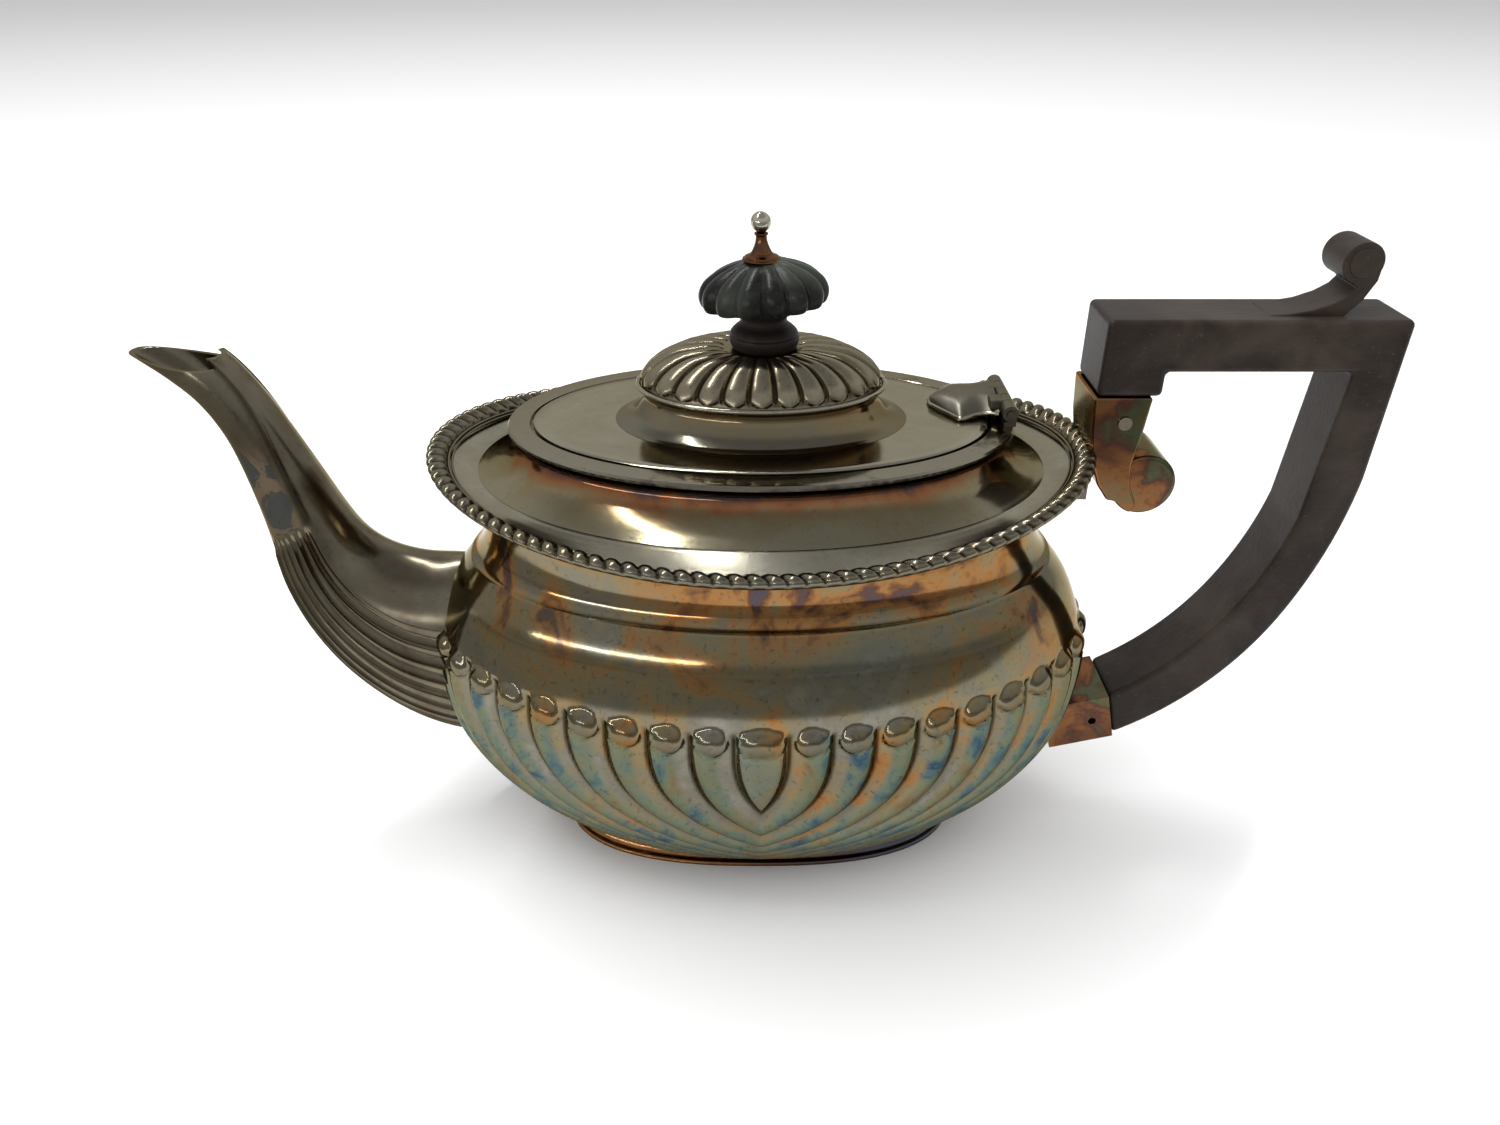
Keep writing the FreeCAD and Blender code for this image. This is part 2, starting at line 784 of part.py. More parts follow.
moving_leaf = new_body("hinge_lid_leaf")
plate_top_size = size("lid_underside") + size("lid_plate")
add_plate(
    moving_leaf,
    "leaf",
    (
        (axis_x - 16.0, plate_top_size),
        (axis_x - 5.2, plate_top_size),
        (axis_x - 3.0, axis_z - 0.6),
        (axis_x - 2.4, axis_z - 0.6),
        (axis_x - 2.4, axis_z + 1.9),
        (axis_x - 7.0, axis_z + 2.0),
        (axis_x - 13.0, axis_z + 1.2),
        (axis_x - 16.6, plate_top_size + 1.6),
    ),
    Size(0),
    pitch_y * 4,
)
for side, name in ((-1, "near_arm"), (1, "far_arm")):
    add_plate(
        moving_leaf,
        name,
        (
            (axis_x - 3.0, axis_z - 0.6),
            (axis_x, axis_z - 0.6),
            (axis_x, axis_z + 1.2),
            (axis_x - 3.0, axis_z + 1.2),
        ),
        pitch_y * side,
        size("knuckle_length"),
    )
    add_knuckle(moving_leaf, f"{name}_knuckle", pitch_y * side)
drill_hinge(moving_leaf, "lid_leaf")

pin_length = pitch_y * 5 + size("hinge_pin_ends")
pin = doc.addObject("Part::Cylinder", "hinge_pin")
pin.Label = "hinge_pin"
pin.setExpression("Radius", "Sizes.hinge_pin_radius")
pin.setExpression("Height", pin_length.text)
pin.Placement = Placement(
    Vector(axis_x.value, (size("hinge_offset") - pin_length / 2).value, axis_z.value),
    Rotation(Vector(1, 0, 0), -90),
)
pin.setExpression("Placement.Base.x", axis_x.text)
pin.setExpression("Placement.Base.y", (size("hinge_offset") - pin_length / 2).text)
pin.setExpression("Placement.Base.z", axis_z.text)
sub_parts.append(pin)

# ---------------------------------------------------------------- wooden handle

left, right = size("handle_left"), size("handle_right")
top = size("handle_top")
under_bar = top - size("bar_depth")
end_x, end_z = size("bow_end_x"), size("bow_end_z")
tilt = math.radians(mm("bow_end_angle"))
half_end = size("bow_end_depth") / 2
handle = new_body("handle")
bow = new_sketch(handle, "XZ_Plane", "handle_outline")
draw_outline(
    bow,
    (
        (left, size("leg_bottom")),
        (left, top),
        (right, top),
        (right - 1.2, top - 36.2),
        (right - 11.6, top - 73.3),
        (end_x + half_end * math.sin(tilt), end_z - half_end * math.cos(tilt)),
        (end_x - half_end * math.sin(tilt), end_z + half_end * math.cos(tilt)),
        (right - 23.0, top - 71.0),
        (right - 13.4, top - 46.6),
        (right - 10.2, under_bar),
        (left + size("leg_breadth"), under_bar),
        (left + size("leg_breadth"), size("leg_bottom")),
    ),
    {
        3: (size("bow_outer_upper_arc"), 1),
        4: (size("bow_outer_lower_arc"), 1),
        6: (size("bow_inner_lower_arc"), -1),
        7: (size("bow_inner_upper_arc"), -1),
    },
)
pad(handle, bow, size("handle_half_width") * 2, "handle_bow", symmetric=True)

scroll_x, scroll_z, scroll_r = size("scroll_x"), size("scroll_z"), size("scroll_radius")
scroll = new_sketch(handle, "XZ_Plane", "thumb_scroll_outline")
draw_outline(
    scroll,
    (
        (scroll_x - 12.4, top - 0.5),
        (scroll_x - 0.8, top - 0.5),
        (scroll_x + 1.4, top + 2.8),
        (scroll_x + scroll_r * 0.9, scroll_z - 1.6),
        (scroll_x - scroll_r * 0.6, scroll_z - scroll_r * 0.8),
        (scroll_x - 12.4, top),
    ),
    {4: (size("scroll_sweep"), 1)},
)
pad(handle, scroll, size("scroll_half_width") * 2, "thumb_scroll_stem", symmetric=True)
scroll_end = new_sketch(handle, "XZ_Plane", "thumb_scroll_circle")
draw_circle(scroll_end, scroll_x, scroll_z, scroll_r)
pad(handle, scroll_end, size("scroll_half_width") * 2, "thumb_scroll", symmetric=True)

gap = size("tenon_gap")
wall = size("socket_wall")
tenon = new_sketch(handle, "XZ_Plane", "upper_tenon_outline")
tenon_left, tenon_right = size("socket_left") + wall + gap, size("socket_right") - wall - gap
draw_outline(
    tenon,
    (
        (tenon_left, size("socket_floor") + gap),
        (tenon_left, size("leg_bottom") + 0.5),
        (tenon_right, size("leg_bottom") + 0.5),
        (tenon_right, size("socket_floor") + gap),
    ),
)
tenon_half = size("socket_half_width") - wall - gap
pad(handle, tenon, tenon_half * 2, "upper_tenon", symmetric=True)


def along_end(forward, up):
    """A point in the frame of the bow's lower end: forward points out of the lower socket."""
    return (
        end_x + forward * math.cos(tilt) - up * math.sin(tilt),
        end_z + forward * math.sin(tilt) + up * math.cos(tilt),
    )


lower_tenon = new_sketch(handle, "XZ_Plane", "lower_tenon_outline")
tenon_up = half_end - wall - gap
draw_outline(
    lower_tenon,
    (
        along_end(-size("tenon_length"), -tenon_up),
        along_end(-size("tenon_length"), tenon_up),
        along_end(Size(0.5), tenon_up),
        along_end(Size(0.5), -tenon_up),
    ),
)
lower_half = size("lower_socket_half_width") - wall - gap
pad(handle, lower_tenon, lower_half * 2, "lower_tenon", symmetric=True)
rivet_bore = size("rivet_radius") + size("rivet_clearance")
bores = new_sketch(handle, "XZ_Plane", "handle_bores")
draw_circle(bores, size("rivet_x"), size("rivet_z"), rivet_bore)
draw_circle(bores, size("pin_hole_x"), size("pin_hole_z"), rivet_bore)
pocket_through(handle, bores, "handle_drilling")

# ---------------------------------------------------------------- sockets and rivet

roll_x, roll_z, roll_r = size("thumb_roll_x"), size("thumb_roll_z"), size("thumb_roll_radius")
socket_l, socket_r = size("socket_left"), size("socket_right")
socket = doc.addObject("PartDesign::Body", "upper_socket_blank")
outline = new_sketch(socket, "XZ_Plane", "upper_socket_outline")
draw_outline(
    outline,
    (
        (socket_l, size("leg_bottom") - size("socket_clearance")),
        (socket_r, size("leg_bottom") - size("socket_clearance")),
        (socket_r, roll_z + 8.0),
        (roll_x + 3.6, roll_z + 4.6),
        (roll_x, roll_z - roll_r),
        (socket_l + 4.6, roll_z - 3.4),
        (socket_l + 1.5, roll_z + 1.6),
        (socket_l, roll_z + 6.0),
    ),
)
pad(socket, outline, size("socket_half_width") * 2, "upper_socket_block", symmetric=True)
roll = new_sketch(socket, "XZ_Plane", "thumb_roll_circle")
draw_circle(roll, roll_x, roll_z, roll_r)
pad(socket, roll, size("socket_half_width") * 2, "thumb_roll", symmetric=True)
cavity = new_sketch(socket, "XY_Plane", "upper_socket_mouth", lift=size("leg_bottom"))
inner = size("socket_half_width") - wall
draw_outline(
    cavity,
    (
        (socket_l + wall, -inner),
        (socket_r - wall, -inner),
        (socket_r - wall, inner),
        (socket_l + wall, inner),
    ),
)
hollow = socket.newObject("PartDesign::Pocket", "upper_socket_hollow")
hollow.Profile = cavity
hollow.Length = (size("leg_bottom") - size("socket_floor")).value
hollow.setExpression("Length", (size("leg_bottom") - size("socket_floor")).text)
rivet_hole = new_sketch(socket, "XZ_Plane", "upper_socket_rivet_hole")
draw_circle(rivet_hole, size("rivet_x"), size("rivet_z"), rivet_bore)
pocket_through(socket, rivet_hole, "upper_socket_drilling")

# The border's end passes through the socket's body side, so the socket is cut back to clear it.
rim_room = doc.addObject("Part::Feature", "rim_room")
room_side = mm("border_breadth") + mm("socket_clearance")
room_a, room_b = mm("border_half_length") + room_side, mm("border_half_width") + room_side
room_floor, room_height = mm("stay_underside") - 2.4, 17.0
rim_room.Shape = Part.Face(oval_wire(room_a, room_b, room_floor)).extrude(Vector(0, 0, room_height))
upper_socket = doc.addObject("Part::Cut", "upper_socket")
upper_socket.Label = "upper_socket"
upper_socket.Base = socket
upper_socket.Tool = rim_room
sub_parts.append(upper_socket)

stay_width = mm("stay_width")
stay_corner = Vector(mm("neck_half_length") - 1.2, -stay_width / 2, mm("stay_underside"))
stay_blank = Part.makeBox(mm("stay_length"), stay_width, mm("stay_height"), stay_corner)
stay = stay_blank.cut(body_outside).common(rim_room.Shape)
plain_feature("socket_stay", max(stay.Solids, key=lambda solid: solid.Volume))

lower_blank = doc.addObject("PartDesign::Body", "lower_socket_blank")
lower_outline = new_sketch(lower_blank, "XZ_Plane", "lower_socket_outline")
reach = size("lower_socket_length")
draw_outline(
    lower_outline,
    (
        along_end(-reach, -half_end - 0.3),
        along_end(-reach, half_end),
        along_end(-size("socket_clearance"), half_end),
        along_end(-size("socket_clearance"), -half_end),
    ),
)
pad(lower_blank, lower_outline, size("lower_socket_half_width") * 2, "lower_socket_block", symmetric=True)
lower_hollow = new_sketch(lower_blank, "XZ_Plane", "lower_socket_hollow")
hollow_up = half_end - wall
draw_outline(
    lower_hollow,
    (
        along_end(-(size("tenon_length") + gap), -hollow_up),
        along_end(-(size("tenon_length") + gap), hollow_up),
        along_end(Size(1.0), hollow_up),
        along_end(Size(1.0), -hollow_up),
    ),
)
hollow_cut = lower_blank.newObject("PartDesign::Pocket", "lower_socket_cavity")
hollow_cut.Profile = lower_hollow
hollow_cut.SideType = "Symmetric"
hollow_width = (size("lower_socket_half_width") - wall) * 2
hollow_cut.Length = hollow_width.value
hollow_cut.setExpression("Length", hollow_width.text)
lower_hole = new_sketch(lower_blank, "XZ_Plane", "lower_socket_pin_hole")
draw_circle(lower_hole, size("pin_hole_x"), size("pin_hole_z"), rivet_bore)
pocket_through(lower_blank, lower_hole, "lower_socket_drilling")
body_room = doc.addObject("Part::Feature", "body_room")
body_room.Shape = body_outside
lower_socket = doc.addObject("Part::Cut", "lower_socket")
lower_socket.Label = "lower_socket"
lower_socket.Base = lower_blank
lower_socket.Tool = body_room
sub_parts.append(lower_socket)

rivet = new_body("upper_rivet")
shank = new_sketch(rivet, "XZ_Plane", "rivet_shank")
draw_circle(shank, size("rivet_x"), size("rivet_z"), size("rivet_radius"))
pad(rivet, shank, size("socket_half_width") * 2, "rivet_shank_pad", symmetric=True)
for side, name in ((1, "near_head"), (-1, "far_head")):
    head = new_sketch(rivet, "XZ_Plane", name, lift=size("socket_half_width") * side)
    draw_circle(head, size("rivet_x"), size("rivet_z"), size("rivet_head_radius"))
    head_pad = pad(rivet, head, size("rivet_head_height"), f"{name}_pad")
    head_pad.Reversed = side < 0

# ---------------------------------------------------------------- spout

# Each section runs from a point on the underside to one on the upper side (x, z, x, z), with its
# half width. The first is inside the body and the last is the mouth. The waist is the section at
# which the curve of the root passes into the rising neck.
SPOUT_SECTIONS = (
    (-65.9, 23.3, -62.1, 73.3, 13.8),
    (-80.8, 27.2, -71.2, 74.8, 14.0),
    (-92.2, 33.9, -79.1, 75.1, 13.6),
    (-102.4, 44.1, -84.8, 76.2, 12.7),
    (-109.4, 55.7, -89.8, 78.4, 11.6),
    (-113.4, 67.7, -93.9, 82.2, 10.5),
    (-114.8, 79.2, -97.4, 88.4, 9.5),
    (-116.0, 89.1, -101.0, 96.5, 8.7),
    (-117.8, 99.3, -105.0, 105.3, 7.9),
    (-120.1, 107.5, -108.5, 112.6, 7.3),
    (-124.1, 114.9, -111.5, 118.0, 6.9),
    (-129.6, 120.5, -114.4, 122.4, 6.6),
    (-136.8, 126.1, -116.6, 125.1, 6.2),
)

SPOUT_WAIST = 5


def spout_solid(inset, mouth_shift):
    """The curved spout, inset by a wall and run on past the mouth. Two lofts meet at the waist."""
    wires = []
    for i, (low_x, low_z, high_x, high_z, half_width) in enumerate(SPOUT_SECTIONS):
        low, high = Vector(low_x, 0, low_z), Vector(high_x, 0, high_z)
        centre = (low + high) * 0.5
        if i == len(SPOUT_SECTIONS) - 1:
            centre = centre + Vector(0, 0, mouth_shift)
        across_flow = (high - low).normalize() * ((high - low).Length / 2 - inset)
        sideways = Vector(0, half_width - inset, 0)
        if across_flow.Length > sideways.Length:
            ellipse = Part.Ellipse(centre + across_flow, centre + sideways, centre)
        else:
            ellipse = Part.Ellipse(centre + sideways, centre + across_flow, centre)
        wires.append(Part.Wire([ellipse.toShape()]))
    lower = Part.makeLoft(wires[: SPOUT_WAIST + 1], False, False)
    upper = Part.makeLoft(wires[SPOUT_WAIST:], False, False)
    shell = Part.makeShell(lower.Faces + upper.Faces + [Part.Face(wires[0]), Part.Face(wires[-1])])
    shell.sewShape()
    solid = Part.makeSolid(shell)
    if solid.Volume < 0:
        solid.reverse()
    return solid


spout_outer = spout_solid(0.0, 0.0)
spout_inner = spout_solid(mm("spout_wall"), 0.6)
spout = spout_outer.cut(spout_inner).cut(body_outside)
plain_feature("spout", max(spout.Solids, key=lambda solid: solid.Volume))

# ---------------------------------------------------------------- checks and export

doc.recompute()
for item in doc.Objects:
    if "Invalid" in item.State or "Error" in item.State:
        raise RuntimeError(f"{item.Name} did not compute: {item.State}")
os.makedirs("parts", exist_ok=True)
for item in sub_parts:
    shape = item.Shape
    if shape.isNull() or not shape.isValid():
        raise RuntimeError(f"{item.Label} has no valid shape")
    print(f"{item.Label:18s} solids {len(shape.Solids)} volume {shape.Volume:9.1f} mm3")
    shape.exportStep(f"parts/{item.Label}.step")
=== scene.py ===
import math

import bpy
import numpy as np
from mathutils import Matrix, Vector


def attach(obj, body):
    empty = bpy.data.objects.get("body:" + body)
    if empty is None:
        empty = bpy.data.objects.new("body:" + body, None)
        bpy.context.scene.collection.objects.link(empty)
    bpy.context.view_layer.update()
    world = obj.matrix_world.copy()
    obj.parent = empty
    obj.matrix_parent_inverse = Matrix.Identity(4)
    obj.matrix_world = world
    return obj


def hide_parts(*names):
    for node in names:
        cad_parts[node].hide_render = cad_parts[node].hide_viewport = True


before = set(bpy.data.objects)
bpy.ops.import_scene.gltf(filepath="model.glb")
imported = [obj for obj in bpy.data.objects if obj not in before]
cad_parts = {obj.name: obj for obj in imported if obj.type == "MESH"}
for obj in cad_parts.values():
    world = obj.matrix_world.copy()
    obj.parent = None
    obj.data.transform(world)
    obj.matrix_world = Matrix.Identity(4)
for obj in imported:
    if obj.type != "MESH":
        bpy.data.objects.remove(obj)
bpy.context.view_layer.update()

# Oval half-lobed teapot in tarnished silver plate. Lengths here are millimetres in the frame of the
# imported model: X from spout (-X) to handle (+X), Z up, origin under the middle of the foot.

MM = 0.001
TAU = 2 * math.pi
SCENE = bpy.context.scene

# ---- curves and grids

EVEN_STEPS = 6001


def through(table, at):
    """Smooth values at the places `at` of a table whose first column is the place."""
    table = np.array(table, float)
    at = np.atleast_1d(np.asarray(at, float))
    place, values = table[:, 0], table[:, 1:]
    slope = np.gradient(values, place, axis=0)
    i = np.clip(np.searchsorted(place, at, side="right") - 1, 0, len(place) - 2)
    step = (place[i + 1] - place[i])[:, None]
    t = (at - place[i])[:, None] / step
    t2, t3 = t * t, t * t * t
    return (
        (2 * t3 - 3 * t2 + 1) * values[i]
        + (t3 - 2 * t2 + t) * step * slope[i]
        + (3 * t2 - 2 * t3) * values[i + 1]
        + (t3 - t2) * step * slope[i + 1]
    )


def smooth_line(points, per_step=6):
    """A line through points that stays smooth, with per_step pieces between neighbours."""
    count = len(points)
    at = np.linspace(0, count - 1, (count - 1) * per_step + 1)
    return through(np.column_stack([np.arange(count), points]), at)


def ease(low, high, x):
    """A smooth step from 0 at low to 1 at high."""
    t = np.clip((x - low) / (high - low), 0.0, 1.0)
    return t * t * (3 - 2 * t)


def even_turns(a, b, count):
    """Angles round an oval, evenly spaced along it from the middle of the front, their places
    along it, and its perimeter."""
    fine = np.linspace(-math.pi / 2, 1.5 * math.pi, EVEN_STEPS)
    x, y = a * np.cos(fine), b * np.sin(fine)
    run = np.concatenate([[0.0], np.cumsum(np.hypot(np.diff(x), np.diff(y)))])
    places = run[-1] * np.arange(count) / count
    return np.interp(places, run, fine), places, run[-1]


def oval_rows(sections, turns):
    """A grid of points, one oval a row. Each section is (half length, half width, height, saddle,
    fullness): the saddle lowers the long sides, and a fullness over 2 squares the oval."""
    rows = []
    cos, sin = np.cos(turns), np.sin(turns)
    for section in sections:
        a, b, z = section[:3]
        saddle = section[3] if len(section) > 3 else 0.0
        fullness = section[4] if len(section) > 4 else 2.0
        reach = (np.abs(cos) ** fullness + np.abs(sin) ** fullness) ** (-1 / fullness)
        rows.append(np.column_stack([a * reach * cos, b * reach * sin, z - saddle * sin**2]))
    return np.array(rows)


def normals_of(grid):
    """Unit normals of a grid that closes round its columns."""
    along = np.roll(grid, -1, axis=1) - np.roll(grid, 1, axis=1)
    up = np.gradient(grid, axis=0)
    normal = np.cross(along, up)
    return normal / np.maximum(np.linalg.norm(normal, axis=2, keepdims=True), 1e-9)


def grid_faces(rows, columns, ring):
    """Quads of a grid that closes round its columns, and round its rows too if it is a ring."""
    r, c = np.meshgrid(np.arange(rows if ring else rows - 1), np.arange(columns), indexing="ij")
    r2, c2 = (r + 1) % rows, (c + 1) % columns
    corners = [r * columns + c, r * columns + c2, r2 * columns + c2, r2 * columns + c]
    return np.stack(corners, axis=-1).reshape(-1, 4).tolist()


# ---- pieces


def add_piece(name, points, faces, material, body, nodes, sharp=40.0, tones=None):
    """A mesh piece that rides a body and stands for the listed nodes. Tones are three numbers a
    vertex, which the materials read; edges over `sharp` degrees stay hard."""
    mesh = bpy.data.meshes.new(name)
    mesh.from_pydata((np.array(points, float) * MM).tolist(), [], faces)
    mesh.validate()
    mesh.shade_smooth()
    mesh.set_sharp_from_angle(angle=math.radians(sharp))
    if tones is not None:
        layer = mesh.color_attributes.new("tone", "FLOAT_COLOR", "POINT")
        rgba = np.ones((len(mesh.vertices), 4))
        rgba[: tones.size // 3, :3] = tones.reshape(-1, 3)
        layer.data.foreach_set("color", rgba.ravel())
    mesh.materials.append(material)
    piece = bpy.data.objects.new(name, mesh)
    SCENE.collection.objects.link(piece)
    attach(piece, body)
    if nodes:
        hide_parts(*nodes)
    return piece


def add_ring(name, grid, material, body, nodes, sharp=40.0, tones=None):
    """A closed ring: its rows run round the cross-section and its columns round the pot."""
    faces = grid_faces(*grid.shape[:2], True)
    add_piece(name, grid.reshape(-1, 3), faces, material, body, nodes, sharp, tones)


def add_capped(name, grid, material, body, nodes, sharp=40.0, tones=None):
    """A closed form whose first and last rows are drawn together to a point."""
    rows, columns = grid.shape[:2]
    first, last = grid[0].mean(axis=0), grid[-1].mean(axis=0)
    points = np.vstack([grid.reshape(-1, 3), first, last])
    faces = grid_faces(rows, columns, False)
    base, top, foot = rows * columns, rows * columns + 1, (rows - 1) * columns
    for c in range(columns):
        d = (c + 1) % columns
        faces.append([base, d, c])
        faces.append([top, foot + c, foot + d])
    add_piece(name, points, faces, material, body, nodes, sharp, tones)


def arc(start, end, radius, side, steps):
    """Points on an arc after its start up to its end. Side +1 bulges to the left."""
    a, b = np.array(start, float), np.array(end, float)
    half = (b - a) / 2
    normal = np.array([-half[1], half[0]]) / np.linalg.norm(half)
    centre = a + half - normal * side * math.sqrt(radius**2 - half @ half)
    from_angle = math.atan2(*(a - centre)[::-1])
    to_angle = math.atan2(*(b - centre)[::-1])
    sweep = (to_angle - from_angle + math.pi) % TAU - math.pi
    angles = from_angle + sweep * np.arange(1, steps + 1) / steps
    return [(centre[0] + radius * math.cos(v), centre[1] + radius * math.sin(v)) for v in angles]


SLAB_SHARP, BEVEL_FROM = 35.0, 32.0


def add_slab(name, outline, low_y, high_y, bevel, material, body, nodes, segments=3):
    """A block cut from an outline in X and Z, with rounded edges."""
    count = len(outline)
    points = [(x, y, z) for y in (low_y, high_y) for x, z in outline]
    faces = [list(range(count)), list(range(2 * count - 1, count - 1, -1))]
    for i in range(count):
        j = (i + 1) % count
        faces.append([i, i + count, j + count, j])
    following = outline[1:] + outline[:1]
    area = sum(a[0] * b[1] - b[0] * a[1] for a, b in zip(outline, following))
    if area < 0:
        faces = [face[::-1] for face in faces]
    piece = add_piece(name, points, faces, material, body, nodes, SLAB_SHARP)
    rounding = piece.modifiers.new("edges", "BEVEL")
    rounding.width = bevel * MM
    rounding.segments = segments
    rounding.limit_method = "ANGLE"
    rounding.angle_limit = math.radians(BEVEL_FROM)
    shading = piece.modifiers.new("shading", "WEIGHTED_NORMAL")
    shading.keep_sharp = False


def turn_places(centre_x, centre_z, radius, first, end, step):
    """Points in X and Z on a circle, by angles in degrees."""
    angles = np.radians(np.arange(first, end, step))
    return [(centre_x + radius * math.cos(v), centre_z + radius * math.sin(v)) for v in angles]


def closed_turns(count):
    """Evenly spaced angles of a full turn, the last one left out."""
    return np.linspace(0, TAU, count + 1)[:-1]


# ---- materials


WHITE, BLACK = (1.0,) * 3, (0.0,) * 3


def start_material(name):
    """A new material, its node tree and its shader."""
    material = bpy.data.materials.new(name)
    material.use_nodes = True
    tree = material.node_tree
    return material, tree, tree.nodes["Principled BSDF"]


def link(tree, source, output, target, entry):
    tree.links.new(source.outputs[output], target.inputs[entry])


def noise_node(tree, coords, scale, detail=4.0, distortion=0.0, roughness=0.55):
    """Noise whose scale counts features per metre."""
    node = tree.nodes.new("ShaderNodeTexNoise")
    node.inputs["Scale"].default_value = scale
    node.inputs["Detail"].default_value = detail
    node.inputs["Roughness"].default_value = roughness
    node.inputs["Distortion"].default_value = distortion
    link(tree, coords, "Object", node, "Vector")
    return node


def math_node(tree, operation, first, second=None, third=None):
    """A Math node. Each entry is a number or a (node, output) pair."""
    node = tree.nodes.new("ShaderNodeMath")
    node.operation = operation
    for i, entry in enumerate((first, second, third)):
        if entry is None:
            continue
        if isinstance(entry, tuple):
            link(tree, entry[0], entry[1], node, i)
        else:
            node.inputs[i].default_value = entry
    return node, "Value"


def ramp_node(tree, source, stops):
    """A colour ramp on a (node, output) pair."""
    node = tree.nodes.new("ShaderNodeValToRGB")
    link(tree, source[0], source[1], node, "Fac")
    elements = node.color_ramp.elements
    while len(elements) > 1:
        elements.remove(elements[-1])
    for i, (place, color) in enumerate(stops):
        stop = elements[0] if i == 0 else elements.new(place)
        stop.position = place
        stop.color = (*color, 1.0)
    return node, "Color"


def mix_colors(tree, share, first, second, blend="MIX"):
    """A colour Mix node. Each entry is a number, a colour or a (node, output) pair."""
    node = tree.nodes.new("ShaderNodeMix")
    node.data_type = "RGBA"
    node.blend_type = blend
    entries = {"Factor_Float": share, "A_Color": first, "B_Color": second}
    for identifier, entry in entries.items():
        target = next(s for s in node.inputs if s.identifier == identifier)
        if isinstance(entry, tuple) and isinstance(entry[0], bpy.types.Node):
            tree.links.new(entry[0].outputs[entry[1]], target)
        elif isinstance(entry, tuple):
            target.default_value = (*entry, 1.0)
        else:
            target.default_value = entry
    result = next(i for i, s in enumerate(node.outputs) if s.identifier == "Result_Color")
    return node, result


def roughen(tree, shader, noise, strength, relief):
    """A shallow bump from a noise node; the relief is in metres."""
    bump = tree.nodes.new("ShaderNodeBump")
    bump.inputs["Strength"].default_value = strength
    bump.inputs["Distance"].default_value = relief
    link(tree, noise, "Fac", bump, "Height")
    link(tree, bump, "Normal", shader, "Normal")


# Colours of a sulphide film on silver as it thickens. Each stop is a place and a colour.
FILM = (
    (0.00, (0.60, 0.57, 0.50)), (0.15, (0.48, 0.45, 0.37)), (0.30, (0.34, 0.322, 0.25)),
    (0.42, (0.44, 0.345, 0.19)), (0.52, (0.60, 0.29, 0.10)), (0.60, (0.22, 0.11, 0.07)),
    (0.67, (0.14, 0.125, 0.16)), (0.75, (0.15, 0.19, 0.23)), (0.84, (0.22, 0.29, 0.25)),
    (0.92, (0.27, 0.31, 0.22)), (1.00, (0.30, 0.285, 0.19)),
)
# The collar's film runs from khaki at its foot to near black under the lip, which is olive again.
# The near black is painted shade under the lip.
COLLAR_FILM_AND_SHADE = (
    (0.20, (0.34, 0.322, 0.25)), (0.34, (0.34, 0.31, 0.21)), (0.44, (0.30, 0.235, 0.13)),
    (0.52, (0.34, 0.14, 0.06)), (0.59, (0.10, 0.07, 0.075)), (0.63, (0.09, 0.08, 0.075)),
    (0.67, (0.34, 0.32, 0.26)),
)
# On the crests of the lobes the film has gone on to teal and green, with bluer patches.
CREST_FILM = (
    (0.30, (0.06, 0.12, 0.20)), (0.39, (0.13, 0.22, 0.24)), (0.47, (0.24, 0.30, 0.22)),
    (0.58, (0.31, 0.31, 0.18)), (0.70, (0.32, 0.20, 0.10)),
)
# The spout and the lid's dome are browner.
SPOUT_FILM = (
    (0.20, (0.27, 0.24, 0.16)), (0.36, (0.20, 0.18, 0.13)), (0.50, (0.17, 0.14, 0.10)),
    (0.62, (0.12, 0.105, 0.09)), (0.78, (0.13, 0.15, 0.14)),
)
# Above its reeds the spout has patches of pale brown and of blue-grey.
PATCH_FILM = (
    (0.40, (0.42, 0.33, 0.24)), (0.49, (0.38, 0.30, 0.22)), (0.52, (0.15, 0.165, 0.18)),
    (0.70, (0.17, 0.18, 0.19)),
)
# The sockets are patched with orange and green.
SOCKET_FILM = (
    (0.20, (0.20, 0.18, 0.12)), (0.34, (0.26, 0.19, 0.10)), (0.44, (0.38, 0.17, 0.07)),
    (0.51, (0.17, 0.08, 0.06)), (0.57, (0.15, 0.18, 0.10)), (0.66, (0.24, 0.15, 0.08)),
    (0.80, (0.09, 0.07, 0.06)),
)

UNLIMITED = 9.0
# Noise scales, as features per metre.
BLOTCH_SCALE, MOTTLE_SCALE, CREST_SCALE, SPECK_SCALE = 52.0, 210.0, 75.0, 800.0
METAL_EDGE_TINT = (0.72, 0.66, 0.54, 1.0)
# The groove tint darkens grooves and creases; under the lobes' heads and just above the foot it is
# painted shade.
GROOVE_DARK_AND_SHADE, CROWN_WEAR = (0.16, 0.12, 0.08), (0.80, 0.78, 0.72)
# How far the mottle and the worn crowns spread the roughness.
ROUGH_SPREAD = 0.10
SURFACE_BUMP, SURFACE_RELIEF = 0.05, 0.0002


